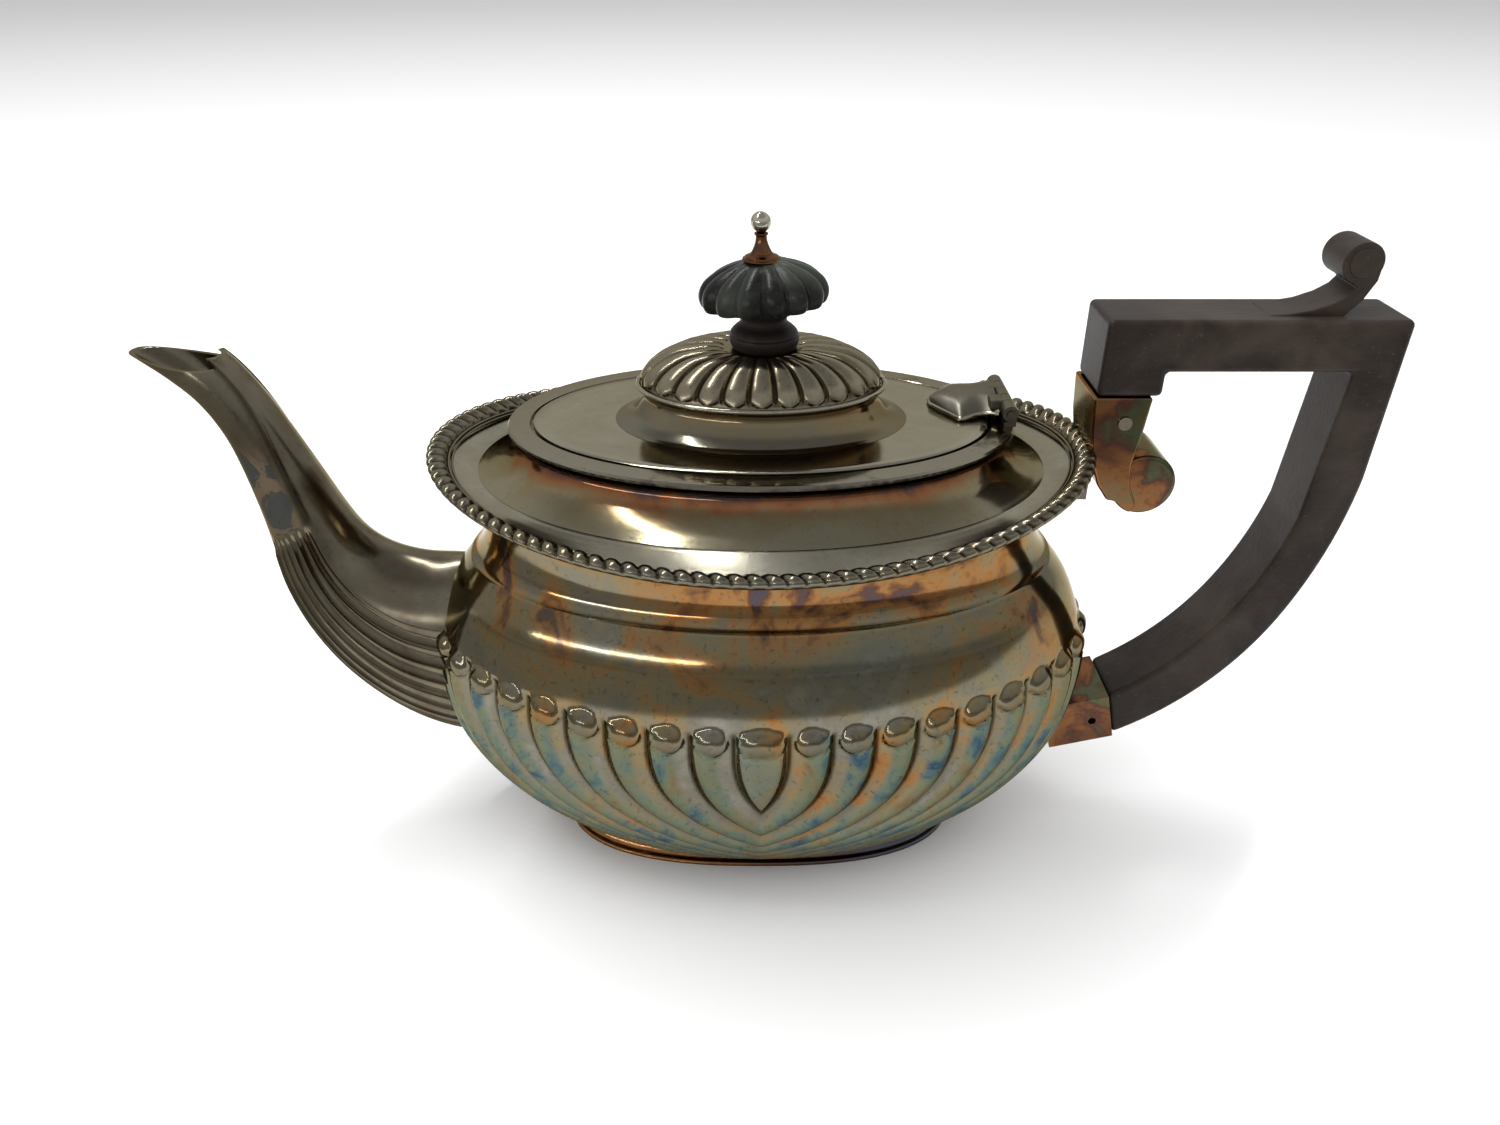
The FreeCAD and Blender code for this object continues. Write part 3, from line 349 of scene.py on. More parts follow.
def tarnished(name, film, blotch, mottle, darken, rough, speckle=0.2, slope=(0, 0, 0), stops=FILM,
              crests=None, grooves=False, least=-UNLIMITED, most=UNLIMITED):
    """Silver plate under a film of tarnish. The film's thickness is film + slope . place (per
    metre), kept between least and most, plus large blotches and a fine mottle. With crests or
    grooves the mesh's tones count: red is the crest film's share, green a worn crown, blue a
    darker groove, which is painted shade under the lobes' heads and just above the foot."""
    material, tree, shader = start_material(name)
    coords = tree.nodes.new("ShaderNodeTexCoord")
    split = tree.nodes.new("ShaderNodeSeparateXYZ")
    link(tree, coords, "Object", split, "Vector")
    thick = film
    for axis, rise in zip("XYZ", slope):
        thick = math_node(tree, "MULTIPLY_ADD", (split, axis), rise, thick)
    thick = math_node(tree, "MAXIMUM", thick, least)
    thick = math_node(tree, "MINIMUM", thick, most)
    large = noise_node(tree, coords, BLOTCH_SCALE, 4.0, 0.9)
    centred = math_node(tree, "SUBTRACT", (large, "Fac"), 0.5)
    thick = math_node(tree, "MULTIPLY_ADD", centred, 2 * blotch, thick)
    fine = noise_node(tree, coords, MOTTLE_SCALE, 6.0, 0.8, 0.6)
    centred = math_node(tree, "SUBTRACT", (fine, "Fac"), 0.5)
    thick = math_node(tree, "MULTIPLY_ADD", centred, 2 * mottle, thick)
    color = ramp_node(tree, thick, stops)
    if crests or grooves:
        tone = tree.nodes.new("ShaderNodeAttribute")
        tone.attribute_name = "tone"
        parts = tree.nodes.new("ShaderNodeSeparateColor")
        link(tree, tone, "Color", parts, "Color")
    if crests:
        patches = noise_node(tree, coords, CREST_SCALE, 6.0, 1.2, 0.62)
        crest_color = ramp_node(tree, (patches, "Fac"), crests)
        color = mix_colors(tree, (parts, "Red"), color, crest_color)
    specks = noise_node(tree, coords, SPECK_SCALE, 6.0, 0.4, 0.7)
    speck_dark = ramp_node(tree, (specks, "Fac"), ((0.35, (1 - speckle,) * 3), (0.43, WHITE)))
    color = mix_colors(tree, 1.0, color, speck_dark, "MULTIPLY")
    color = mix_colors(tree, 1.0, color, (darken,) * 3, "MULTIPLY")
    if grooves:
        for part, tint in (("Blue", GROOVE_DARK_AND_SHADE), ("Green", CROWN_WEAR)):
            tinted = ramp_node(tree, (parts, part), ((0.0, WHITE), (1.0, tint)))
            color = mix_colors(tree, 1.0, color, tinted, "MULTIPLY")
    link(tree, *color, shader, "Base Color")
    shader.inputs["Metallic"].default_value = 1.0
    shader.inputs["Specular Tint"].default_value = METAL_EDGE_TINT
    roughness = math_node(
        tree, "MULTIPLY_ADD", (fine, "Fac"), ROUGH_SPREAD, rough - ROUGH_SPREAD / 2
    )
    if grooves:
        roughness = math_node(tree, "MULTIPLY_ADD", (parts, "Green"), ROUGH_SPREAD, roughness)
    link(tree, *roughness, shader, "Roughness")
    roughen(tree, shader, fine, SURFACE_BUMP, SURFACE_RELIEF)
    return material


GRAIN_SCALE, GRAIN_STRETCH = 160.0, (1.0, 6.0, 6.0)
SCUFF_SCALE, DUST_SCALE = 60.0, 1100.0
SCUFF_SHARE, DUST_SHARE, DUST_LIGHTER, GRAIN_DARKER = 0.8, 0.5, 2.2, 0.6
WOOD_ROUGH_SPREAD, WOOD_SPECULAR = 0.25, 0.22
WOOD_BUMP, WOOD_RELIEF = 0.25, 0.0003


def ebonised(name, color, worn, rough):
    """Black-stained hardwood: fine grain along X, dust and pale scuffs on a satin surface."""
    material, tree, shader = start_material(name)
    coords = tree.nodes.new("ShaderNodeTexCoord")
    stretch = tree.nodes.new("ShaderNodeMapping")
    stretch.inputs["Scale"].default_value = GRAIN_STRETCH
    link(tree, coords, "Object", stretch, "Vector")
    grain = tree.nodes.new("ShaderNodeTexNoise")
    grain.inputs["Scale"].default_value = GRAIN_SCALE
    grain.inputs["Detail"].default_value = 8.0
    link(tree, stretch, "Vector", grain, "Vector")
    blotch = noise_node(tree, coords, SCUFF_SCALE, 4.0, 0.4)
    specks = noise_node(tree, coords, DUST_SCALE, 4.0, 0.0, 0.8)
    base = mix_colors(tree, (grain, "Fac"), tuple(v * GRAIN_DARKER for v in color), color)
    scuff = ramp_node(tree, (blotch, "Fac"), ((0.42, BLACK), (0.66, (SCUFF_SHARE,) * 3)))
    base = mix_colors(tree, scuff, base, worn)
    dust = ramp_node(tree, (specks, "Fac"), ((0.60, BLACK), (0.72, (DUST_SHARE,) * 3)))
    base = mix_colors(tree, dust, base, tuple(v * DUST_LIGHTER for v in worn))
    link(tree, *base, shader, "Base Color")
    spread = math_node(tree, "MULTIPLY_ADD", (blotch, "Fac"), WOOD_ROUGH_SPREAD, rough - 0.1)
    link(tree, *spread, shader, "Roughness")
    shader.inputs["Specular IOR Level"].default_value = WOOD_SPECULAR
    roughen(tree, shader, grain, WOOD_BUMP, WOOD_RELIEF)
    return material


belly_metal = tarnished(
    "belly_metal", -0.28, blotch=0.50, mottle=0.10, darken=0.50, rough=0.115, speckle=0.4,
    slope=(0, 0, 9.2), crests=CREST_FILM, grooves=True, least=0.37, most=0.56,
)
foot_metal = tarnished(
    "foot_metal", 0.60, blotch=0.06, mottle=0.05, darken=0.55, rough=0.17, slope=(3.0, 0, 0),
    least=0.56,
)
flange_metal = tarnished(
    "flange_metal", 0.28, blotch=0.16, mottle=0.05, darken=0.78, rough=0.18, speckle=0.15
)
border_metal = tarnished(
    "border_metal", 0.32, blotch=0.10, mottle=0.05, darken=0.5, rough=0.22, speckle=0.3,
    grooves=True,
)
# The collar's film thickens with height; the near black just under the lip is painted shade.
collar_metal = tarnished(
    "collar_metal", -3.18, blotch=0.16, mottle=0.05, darken=0.74, rough=0.13, speckle=0.15,
    slope=(0, 0, 35.0), stops=COLLAR_FILM_AND_SHADE,
)
plate_metal = tarnished(
    "plate_metal", 0.25, blotch=0.10, mottle=0.03, darken=0.85, rough=0.15, speckle=0.12
)
gallery_metal = tarnished(
    "gallery_metal", -2.73, blotch=0.14, mottle=0.04, darken=0.45, rough=0.14, speckle=0.12,
    slope=(2.0, 0, 27.0), least=0.25,
)
dome_metal = tarnished(
    "dome_metal", 0.38, blotch=0.22, mottle=0.08, darken=1.25, rough=0.26, speckle=0.3,
    stops=SPOUT_FILM, grooves=True,
)
spout_metal = tarnished(
    "spout_metal", 0.38, blotch=0.40, mottle=0.08, darken=0.76, rough=0.2, speckle=0.3,
    stops=SPOUT_FILM, crests=PATCH_FILM, grooves=True,
)
socket_metal = tarnished(
    "socket_metal", 0.28, blotch=0.42, mottle=0.06, darken=0.60, rough=0.17, speckle=0.25,
    slope=(2.5, 0, 0), stops=SOCKET_FILM,
)
bright_metal = tarnished(
    "bright_metal", 0.22, blotch=0.08, mottle=0.05, darken=0.8, rough=0.16, speckle=0.3
)
bead_metal = tarnished(
    "bead_metal", 0.16, blotch=0.08, mottle=0.05, darken=0.95, rough=0.18, speckle=0.3
)
stem_metal = tarnished(
    "stem_metal", 0.60, blotch=0.05, mottle=0.05, darken=0.45, rough=0.2, speckle=0.3
)
grey_metal = tarnished("grey_metal", 0.22, blotch=0.08, mottle=0.06, darken=0.36, rough=0.34)
handle_wood = ebonised("handle_wood", (0.021, 0.0135, 0.0095), (0.046, 0.034, 0.026), 0.46)
knob_wood = ebonised("knob_wood", (0.006, 0.006, 0.0055), (0.040, 0.046, 0.036), 0.28)
collar_wood = ebonised("collar_wood", (0.010, 0.0065, 0.005), (0.022, 0.015, 0.012), 0.5)

# ---- body

WIDEST_A, WIDEST_B = 78.4, 47.04
BODY_ASPECT = 0.60
RIDGE_Z, NECK_TOP, BASE_Z, WALL = 79.0, 98.4, 5.0, 1.0
# The body's profile: height and share of its widest oval, then height, half length and half width.
BODY_LINE = (
    (5.0, 0.60), (10.0, 0.722), (16.0, 0.805), (24.0, 0.893), (34.0, 0.965),
    (45.0, 0.996), (56.0, 1.0), (66.0, 0.968), (73.0, 0.925), (79.0, 0.868),
)
NECK_LINE = (
    (79.0, 68.05, 40.83), (79.5, 67.2, 40.1), (81.0, 66.0, 39.1), (84.0, 64.6, 38.3),
    (88.0, 63.9, 38.5), (93.0, 63.9, 39.7), (98.4, 64.2, 41.2),
)


def body_halves(z):
    """The body's half length and half width at a height."""
    share = through(BODY_LINE, z)[:, 0]
    return share * WIDEST_A, share * WIDEST_A * BODY_ASPECT


# Lobes: one period runs from its outer crease to the next crease towards the middle.
LOBE_PITCH, SHIELD_HALF = 9.5, 5.95
LOBE_LINE = (
    (0.0, -0.60), (0.05, -0.12), (0.14, 0.45), (0.30, 0.88), (0.46, 0.74), (0.60, 0.25),
    (0.72, -0.14), (0.86, -0.36), (0.95, -0.42), (1.0, -0.60),
)
LOBE_RELIEF, LOBE_EDGE, SHIELD_RISE = 1.35, -0.6, 1.25
# Below SWEEP_FROM the lobes sweep towards the middle of the side.
SWEEP_FROM, SWEEP, SWEEP_POWER = 53.0, 0.00281, 2.6
# A round head tops each lobe, and their line climbs towards the spout and the handle.
HEAD_Z, HEAD_HALF_WIDTH, HEAD_HALF_HEIGHT, HEAD_PROUD = 55.4, 3.65, 3.35, 1.7
MIDDLE_HEAD_HALF_WIDTH, LINE_RISE = 5.0, 3.0
SKIRT_DEPTH, FOOT_SHADE_TOP = 0.25, 9.4


def near_heads(z):
    """1 beside the heads, falling to 0 above and below them."""
    return ease(50.5, 53.5, z) * (1 - ease(58.0, 59.6, z))


def lobed(run, perimeter, z):
    """Height of the lobing and its tones at a place along the widest oval and a height."""
    half = perimeter / 2
    u = np.abs((run + half / 2) % half - half / 2)
    z = z - LINE_RISE * ease(15.0, 85.0, u) * ease(20.0, 50.0, z)
    v = u + SWEEP * np.maximum(SWEEP_FROM - z, 0.0) ** SWEEP_POWER
    phase = (v - SHIELD_HALF) / LOBE_PITCH
    q = 1.0 - (phase - np.floor(phase))
    shape = through(LOBE_LINE, q.ravel())[:, 0].reshape(q.shape)
    # The pointed shield in the middle of each side.
    shield = v < SHIELD_HALF
    from_edge = np.clip((SHIELD_HALF - v) / SHIELD_HALF, 0, 1)
    shape = np.where(shield, LOBE_EDGE + SHIELD_RISE * ease(0.0, 0.35, from_edge), shape)
    green = np.where(shield, 0.6, ease(0.03, 0.10, q) * (1 - ease(0.52, 0.74, q)))
    to_crease = np.where(shield, SHIELD_HALF - v, np.minimum(q, 1 - q) * LOBE_PITCH)
    crease = 1 - ease(0.15, 1.0, np.abs(to_crease))
    # The lobes run out above their heads, near the foot, and at the spout and the handle.
    fade = (1 - ease(56.0, 58.6, z)) * (0.35 + 0.65 * ease(8.0, 22.0, z))
    end_fade = 1 - ease(93.0, 99.0, u)
    shape = LOBE_RELIEF * shape * fade * (0.3 + 0.7 * end_fade)
    green = green * fade
    crease = crease * fade * (0.55 + 0.45 * ease(14.0, 30.0, z))
    # The heads: round below, and melting into the shoulder above.
    head_number = np.maximum(np.round((u - SHIELD_HALF - LOBE_PITCH / 2) / LOBE_PITCH), 0)
    middle = u < SHIELD_HALF
    head_u = np.where(middle, 0.0, SHIELD_HALF + LOBE_PITCH * (head_number + 0.5))
    wide = np.where(middle, MIDDLE_HEAD_HALF_WIDTH, HEAD_HALF_WIDTH)
    fall = 1 - ((u - head_u) / wide) ** 2 - ((z - HEAD_Z) / HEAD_HALF_HEIGHT) ** 2
    round_head = np.where(fall > 0, np.abs(fall) ** 0.5, 0.0)
    soft_head = ease(0.0, 1.0, 1.25 - 1.05 * np.sqrt(np.maximum(1 - fall, 0.0)))
    upper = ease(HEAD_Z - 1.5, HEAD_Z + 1.5, z)
    head = round_head * (1 - 0.8 * upper) + soft_head * 0.8 * upper
    skirt = np.clip(1 + fall * 2.2, 0, 1) * (fall <= 0) * (1 - upper)
    body = shape * (1 - ease(0.0, 0.25, fall)) + HEAD_PROUD * head
    body = body - SKIRT_DEPTH * skirt * near_heads(z)
    # Round the lower half of each head the groove tone darkens: painted shade under the head.
    crease = np.maximum(crease * (1 - ease(0.0, 0.2, fall)), skirt * 0.4 * near_heads(z))
    # A dark band just above the foot is painted shade where the belly meets the foot.
    crease = np.maximum(crease, 0.75 * (1 - ease(6.6, FOOT_SHADE_TOP, z)))
    return body, np.stack([green * (1 - head), head, crease], axis=-1)


BODY_COLUMNS, BELLY_ROWS = 840, 132
# Above this height the shoulder takes a little of the crest film.
SHOULDER_Z, SHOULDER_TONE = 62.0, 0.22
body_turns, body_run, body_perimeter = even_turns(WIDEST_A, WIDEST_B, BODY_COLUMNS)
belly_z = np.linspace(BASE_Z, RIDGE_Z, BELLY_ROWS)
belly = oval_rows(np.column_stack([*body_halves(belly_z), belly_z]), body_turns)
run_grid, z_grid = np.meshgrid(body_run, belly_z)
lobe_height, lobe_tones = lobed(run_grid, body_perimeter, z_grid)
lobe_tones[belly_z > SHOULDER_Z, :, 0] = SHOULDER_TONE
belly = belly + normals_of(belly) * lobe_height[..., None]
neck_z = np.concatenate([[79.12, 79.35], np.linspace(79.8, NECK_TOP, 30)])
neck = oval_rows(np.column_stack([through(NECK_LINE, neck_z), neck_z]), body_turns)

# The inside: a wall's thickness in, and a little more below the heads.
LOWER_WALL, LOWER_WALL_TOP = 0.4, 60
FLOOR_Z = BASE_Z + WALL + LOWER_WALL
inner_z = np.concatenate(
    [np.linspace(NECK_TOP, RIDGE_Z, 8), np.linspace(RIDGE_Z - 2, BASE_Z + 3, 16)]
)
inner_neck = through(NECK_LINE, np.maximum(inner_z, RIDGE_Z)).T
inner_halves = [
    np.where(inner_z > RIDGE_Z, neck_half, half) - WALL - LOWER_WALL * (inner_z < LOWER_WALL_TOP)
    for neck_half, half in zip(inner_neck, body_halves(np.minimum(inner_z, RIDGE_Z)))
]
inside = oval_rows(np.column_stack([*inner_halves, inner_z]), body_turns)
floor_rows = oval_rows([(30.0, 18.0, FLOOR_Z), (4.0, 3.0, FLOOR_Z)], body_turns)
base_rows = oval_rows([(4.0, 3.0, BASE_Z), (30.0, 18.0, BASE_Z), (46.0, 27.4, BASE_Z)], body_turns)
body_grid = np.concatenate([base_rows, belly, neck, inside, floor_rows])
body_tones = np.zeros((*body_grid.shape[:2], 3))
body_tones[len(base_rows) :][: len(belly)] = lobe_tones
add_capped(
    "body_skin", body_grid, belly_metal, "pot", ["body_shell"], 55.0, body_tones
)

# ---- foot, flange, border and collar

RING_COLUMNS = 360
FOOT_A, FOOT_B, FOOT_FULLNESS = 50.6, 27.2, 2.5
foot_turns = even_turns(FOOT_A, FOOT_B, RING_COLUMNS)[0]
# How far in from the foot's widest oval, and how high.
FOOT_OUTSIDE = (
    (0.25, 0.0), (0.0, 0.3), (0.0, 0.85), (0.4, 1.25), (1.2, 1.55), (1.9, 2.6), (2.35, 4.0),
    (2.3, 5.4), (2.0, 7.0),
)
FOOT_INSIDE = ((3.2, 7.0), (3.6, 4.0), (2.6, 0.2), (2.3, 0.0))
foot_line = np.vstack([smooth_line(FOOT_OUTSIDE, 3), FOOT_INSIDE])
foot_rows = [(FOOT_A - inset, FOOT_B - inset, z, 0.0, FOOT_FULLNESS) for inset, z in foot_line]
add_ring("foot", oval_rows(foot_rows, foot_turns), foot_metal, "pot", ["foot_ring"])

# Half length, half width, height and saddle.
FLANGE_TOP = (
    (58.2, 37.6, 99.9, 0.0), (61.5, 40.5, 100.3, 0.0), (63.9, 42.7, 100.32, 0.25),
    (65.4, 44.1, 100.42, 0.7), (67.0, 45.7, 100.75, 1.43), (68.4, 47.2, 101.3, 2.34),
    (69.6, 48.5, 101.95, 3.29), (70.6, 49.6, 102.7, 4.3),
)
FLANGE_SHEET, FLANGE_ROOT = 1.0, 0.9
flange_top = smooth_line(FLANGE_TOP, 5)
flange_under = flange_top[::-1].copy()
flange_under[:, 2] -= FLANGE_SHEET + FLANGE_ROOT * (1 - ease(64.6, 66.6, flange_under[:, 0]))
flange_grid = oval_rows(np.vstack([flange_top, flange_under]), foot_turns)
add_ring("flange", flange_grid[::-1], flange_metal, "pot", ["rim_flange"])

BORDER_A, BORDER_B, BORDER_Z, BORDER_SADDLE = 72.3, 51.6, 104.0, 5.8
BORDER_HALF_WIDTH, BORDER_HALF_HEIGHT, BORDER_TILT, BORDER_SLANT = 2.1, 1.5, 0.35, 1.1
BORDER_LOBES, LOBE_STEPS, BORDER_SIDES = 114, 12, 28
border_turns, border_run, border_perimeter = even_turns(
    BORDER_A, BORDER_B, BORDER_LOBES * LOBE_STEPS
)


def border_ring(out, up, turns, smooth_out):
    """Points beside the border's centre line: out is outwards and up is upwards. The saddle
    deepens with smooth_out, which is out without the lobes."""
    a, b = BORDER_A + out, BORDER_B + out
    z = BORDER_Z + up - (BORDER_SADDLE + 0.05 * smooth_out) * np.sin(turns) ** 2
    return np.column_stack([a * np.cos(turns), b * np.sin(turns), z])


border_rows, border_tones = [], []
for angle in closed_turns(BORDER_SIDES):
    out = BORDER_HALF_WIDTH * math.cos(angle)
    up = BORDER_HALF_HEIGHT * math.sin(angle) + BORDER_TILT * out
    lean = BORDER_SLANT * out / BORDER_HALF_WIDTH
    step = ((border_run - lean) / border_perimeter * BORDER_LOBES) % 1.0
    edge = np.abs(2 * step - 1)
    lobe = 1 - edge**2.6
    # The lobes cover the upper and outer face, and end in beads on its edge.
    strength = ease(-0.55, 0.15, math.sin(angle)) * ease(-1.08, -0.55, math.cos(angle))
    bead = math.exp(-(((out - 1.75) / 0.7) ** 2)) * ease(-0.6, 0.1, math.sin(angle))
    lift = strength * (0.95 * lobe - 0.55) + bead * 0.15 * (lobe - 0.3)
    lifted_out, lifted_up = out + lift * math.cos(angle) * 0.6, up + lift * math.sin(angle)
    border_rows.append(border_ring(lifted_out, lifted_up, border_turns, out))
    tones = np.zeros((len(edge), 3))
    tones[:, 2] = strength * ease(0.62, 1.0, edge)
    border_tones.append(tones)
add_ring(
    "border", np.array(border_rows)[::-1], border_metal, "pot", ["gadroon_border"],
    60.0, np.array(border_tones)[::-1],
)
# Two thin wires inside the border: out, up and radius.
for number, (out, up, radius) in enumerate(((-2.35, -0.55, 0.34), (-3.05, -1.0, 0.28))):
    wire = []
    for v in closed_turns(10):
        wire_out = out + radius * math.cos(v)
        wire.append(border_ring(wire_out, up + radius * math.sin(v), foot_turns, wire_out))
    add_ring(
        f"border_wire_{number + 1}", np.array(wire)[::-1], border_metal, "pot", []
    )

# Half length, half width, height and saddle, up the outside; then the lip and down the inside.
COLLAR_OUTSIDE = (
    (63.9, 42.7, 100.37, 0.22), (61.9, 40.9, 100.85, 0.0), (59.4, 38.7, 101.75, 0.0),
    (57.1, 36.6, 102.95, 0.0), (55.4, 35.0, 104.5, 0.0), (54.4, 34.0, 106.0, 0.0),
    (54.1, 33.7, 107.1, 0.0), (54.4, 33.9, 108.0, 0.0), (55.2, 34.6, 108.7, 0.0),
)
COLLAR_LIP = (
    (56.0, 35.4, 109.15), (56.4, 35.8, 109.5), (56.4, 35.8, 110.1), (56.0, 35.4, 110.55),
    (55.6, 35.0, 110.6), (51.5, 30.9, 110.6), (51.4, 30.8, 110.5), (51.4, 30.8, 109.85),
    (50.2, 29.6, 109.85), (50.2, 29.6, 109.05), (52.8, 32.3, 105.0), (53.8, 33.4, 102.0),
    (57.4, 37.0, 99.4),
)
collar_lip = np.column_stack([COLLAR_LIP, np.zeros(len(COLLAR_LIP))])
collar_grid = oval_rows(np.vstack([smooth_line(COLLAR_OUTSIDE, 4), collar_lip]), foot_turns)
add_ring("collar", collar_grid, collar_metal, "pot", ["mouth_collar"])

# ---- lid

# Half length, half width and height, from here to the dome.
PLATE_LINE = (
    (50.3, 29.7, 109.9), (50.6, 30.0, 110.1), (50.6, 30.0, 110.65), (50.2, 29.6, 110.9),
    (48.0, 28.0, 110.82), (40.0, 23.5, 110.85), (29.0, 18.0, 110.9), (29.0, 18.0, 109.9),
)
plate_grid = oval_rows(PLATE_LINE, foot_turns)
add_ring("lid_plate_skin", plate_grid, plate_metal, "lid", ["lid_plate"])
GALLERY_OUTSIDE = (
    (32.4, 21.4, 110.93), (31.6, 20.8, 111.1), (30.2, 19.8, 111.5), (28.3, 18.6, 112.5),
    (26.8, 17.4, 114.2), (25.5, 16.4, 116.0), (25.6, 16.6, 117.6), (26.5, 17.6, 118.4),
)
GALLERY_SHEET = 0.8
gallery_out = smooth_line(GALLERY_OUTSIDE, 4)
gallery_in = gallery_out[::-1] - np.array([GALLERY_SHEET, GALLERY_SHEET, 0.0])
gallery_grid = oval_rows(np.vstack([gallery_out, gallery_in]), foot_turns)
add_ring("gallery", gallery_grid, gallery_metal, "lid", ["lid_gallery"])
WIRE_A, WIRE_B, WIRE_Z, WIRE_R = 27.0, 18.1, 118.95, 0.55
wire_rows = [
    (WIRE_A + WIRE_R * math.cos(v), WIRE_B + WIRE_R * math.cos(v), WIRE_Z + WIRE_R * math.sin(v))
    for v in closed_turns(12)
]
wire_grid = oval_rows(wire_rows, foot_turns)
add_ring("dome_wire", wire_grid, bright_metal, "lid", ["dome_edge_wire"])

DOME_A, DOME_B, DOME_FLUTES, FLUTE_STEPS = 26.4, 17.5, 24, 20
DOME_LINE = (
    (26.4, 17.5, 118.5), (25.9, 17.1, 119.6), (25.4, 16.7, 120.9), (24.2, 15.9, 122.5),
    (22.0, 14.4, 124.1), (18.6, 12.8, 125.7), (15.0, 11.2, 126.5), (11.7, 9.4, 126.95),
    (9.0, 8.2, 126.9), (7.2, 7.2, 126.8),
)
DOME_INSIDE = (
    (1.4, 1.4, 126.8), (1.4, 1.4, 126.0), (6.4, 6.4, 126.0), (15.0, 10.4, 125.4),
    (22.0, 14.0, 122.6), (24.9, 16.2, 119.4), (25.6, 16.7, 118.4),
)
# Shares of the way up where a flute's round end starts and is full, and its height and ridge's.
END_START, END_ROUND, FLUTE_WIDTH, FLUTE_HEIGHT, RIDGE_HEIGHT = 0.10, 0.16, 0.88, 0.85, 0.8
dome_out = smooth_line(DOME_LINE, 8)
dome_turns, dome_run, dome_perimeter = even_turns(DOME_A, DOME_B, DOME_FLUTES * FLUTE_STEPS)
dome_rows = oval_rows(dome_out, dome_turns)
dome_share = np.linspace(0, 1, len(dome_out))[:, None]
flute = np.abs(2 * ((dome_run / dome_perimeter * DOME_FLUTES + 0.5) % 1.0) - 1)[None, :]
to_full = np.clip(END_START + END_ROUND - dome_share, 0, 1) / END_ROUND
end_width = np.sqrt(np.clip(1 - to_full**2, 0, 1))
across_flute = flute / np.maximum(FLUTE_WIDTH * end_width, 1e-3)
inside_flute = np.clip(1 - across_flute**2, 0, 1) ** 0.5
top_fade = 1 - ease(0.84, 0.97, dome_share)
ridge = np.exp(-(((1 - flute) / 0.07) ** 2)) * ease(0.12, 0.24, dome_share)
rise_fade = 1 - 0.55 * ease(0.45, 0.9, dome_share)
flute_height = FLUTE_HEIGHT * inside_flute * (dome_share > END_START) + RIDGE_HEIGHT * ridge
flute_height = flute_height * top_fade * rise_fade
dome_rows = dome_rows + normals_of(dome_rows) * flute_height[..., None]
dome_groove = (1 - inside_flute) * (1 - ridge) * top_fade * ease(0.06, 0.14, dome_share)
dome_grid = np.concatenate([dome_rows, oval_rows(DOME_INSIDE, dome_turns)])
dome_tones = np.zeros((*dome_grid.shape[:2], 3))
dome_tones[: len(dome_rows), :, 2] = np.clip(dome_groove, 0, 1) * 0.5
add_ring("dome", dome_grid, dome_metal, "lid", ["lid_dome"], 60.0, dome_tones)

# ---- finial

# The finial stands a little off centre and leans towards the spout.
FINIAL_X, LEAN, DOME_TOP = 0.7, math.tan(math.radians(2.0)), 126.8
finial_turns = closed_turns(96)


def leaning(grid):
    """The grid moved and leaned as the finial is."""
    grid = grid.copy()
    grid[..., 0] += FINIAL_X - (grid[..., 2] - DOME_TOP) * LEAN
    return grid


def turned_grid(line):
    """A leaning grid of a form turned from its (radius, height) profile."""
    return leaning(oval_rows([(r, r, z) for r, z in line], finial_turns))


# Profiles: radius and height.
COLLAR_OUTLINE = (
    (6.3, 126.8), (7.0, 127.3), (7.45, 128.4), (7.5, 129.5), (7.2, 130.5), (6.4, 131.4),
    (5.5, 132.1), (5.0, 133.0), (5.2, 133.9), (6.0, 134.6), (6.9, 135.0), (7.1, 135.5),
    (6.8, 136.1), (6.4, 137.2),
)
# A thin line is cut round the collar.
CUT_Z, CUT_DEPTH, CUT_WIDTH = 129.9, 0.28, 0.16
collar_outline = smooth_line(COLLAR_OUTLINE, 5)
from_cut = (collar_outline[:, 1] - CUT_Z) / CUT_WIDTH
collar_outline[:, 0] -= CUT_DEPTH * np.exp(-(from_cut**2))
add_ring(
    "finial_collar_wood", turned_grid(np.vstack([collar_outline, [(1.2, 137.5), (1.2, 126.8)]])),
    collar_wood, "lid", ["finial_collar"], 30.0,
)
KNOB_LINE = (
    (1.2, 137.6), (6.0, 137.3), (10.0, 136.5), (12.6, 136.0), (13.6, 136.4), (14.2, 137.9),
    (14.1, 139.6), (13.0, 141.6), (10.8, 143.3), (8.0, 144.6), (5.4, 145.4), (3.6, 145.7),
    (1.2, 145.7),
)
KNOB_ASPECT, KNOB_FLUTES, KNOB_FLUTE_STEPS = 0.74, 14, 22
KNOB_TURN, KNOB_TILT = math.radians(-20.0), math.radians(6.0)
knob_turns = closed_turns(KNOB_FLUTES * KNOB_FLUTE_STEPS)
knob_flute = np.abs(2 * ((knob_turns / TAU * KNOB_FLUTES) % 1.0) - 1)
radius, height = smooth_line(KNOB_LINE, 5).T[..., None]
deep = 0.4 + 1.5 * ease(3.6, 11.0, radius)
reach = radius - deep * knob_flute**2.2 + 0.9 * ease(4.0, 9.0, radius) * knob_flute**14
long_way, short_way = reach * np.cos(knob_turns), reach * np.sin(knob_turns) * KNOB_ASPECT
x = long_way * math.cos(KNOB_TURN) - short_way * math.sin(KNOB_TURN)
y = long_way * math.sin(KNOB_TURN) + short_way * math.cos(KNOB_TURN)
knob_grid = leaning(np.stack([x, y, height + x * math.sin(KNOB_TILT)], axis=-1))
add_ring("knob", knob_grid, knob_wood, "lid", ["finial_knob"], 50.0)
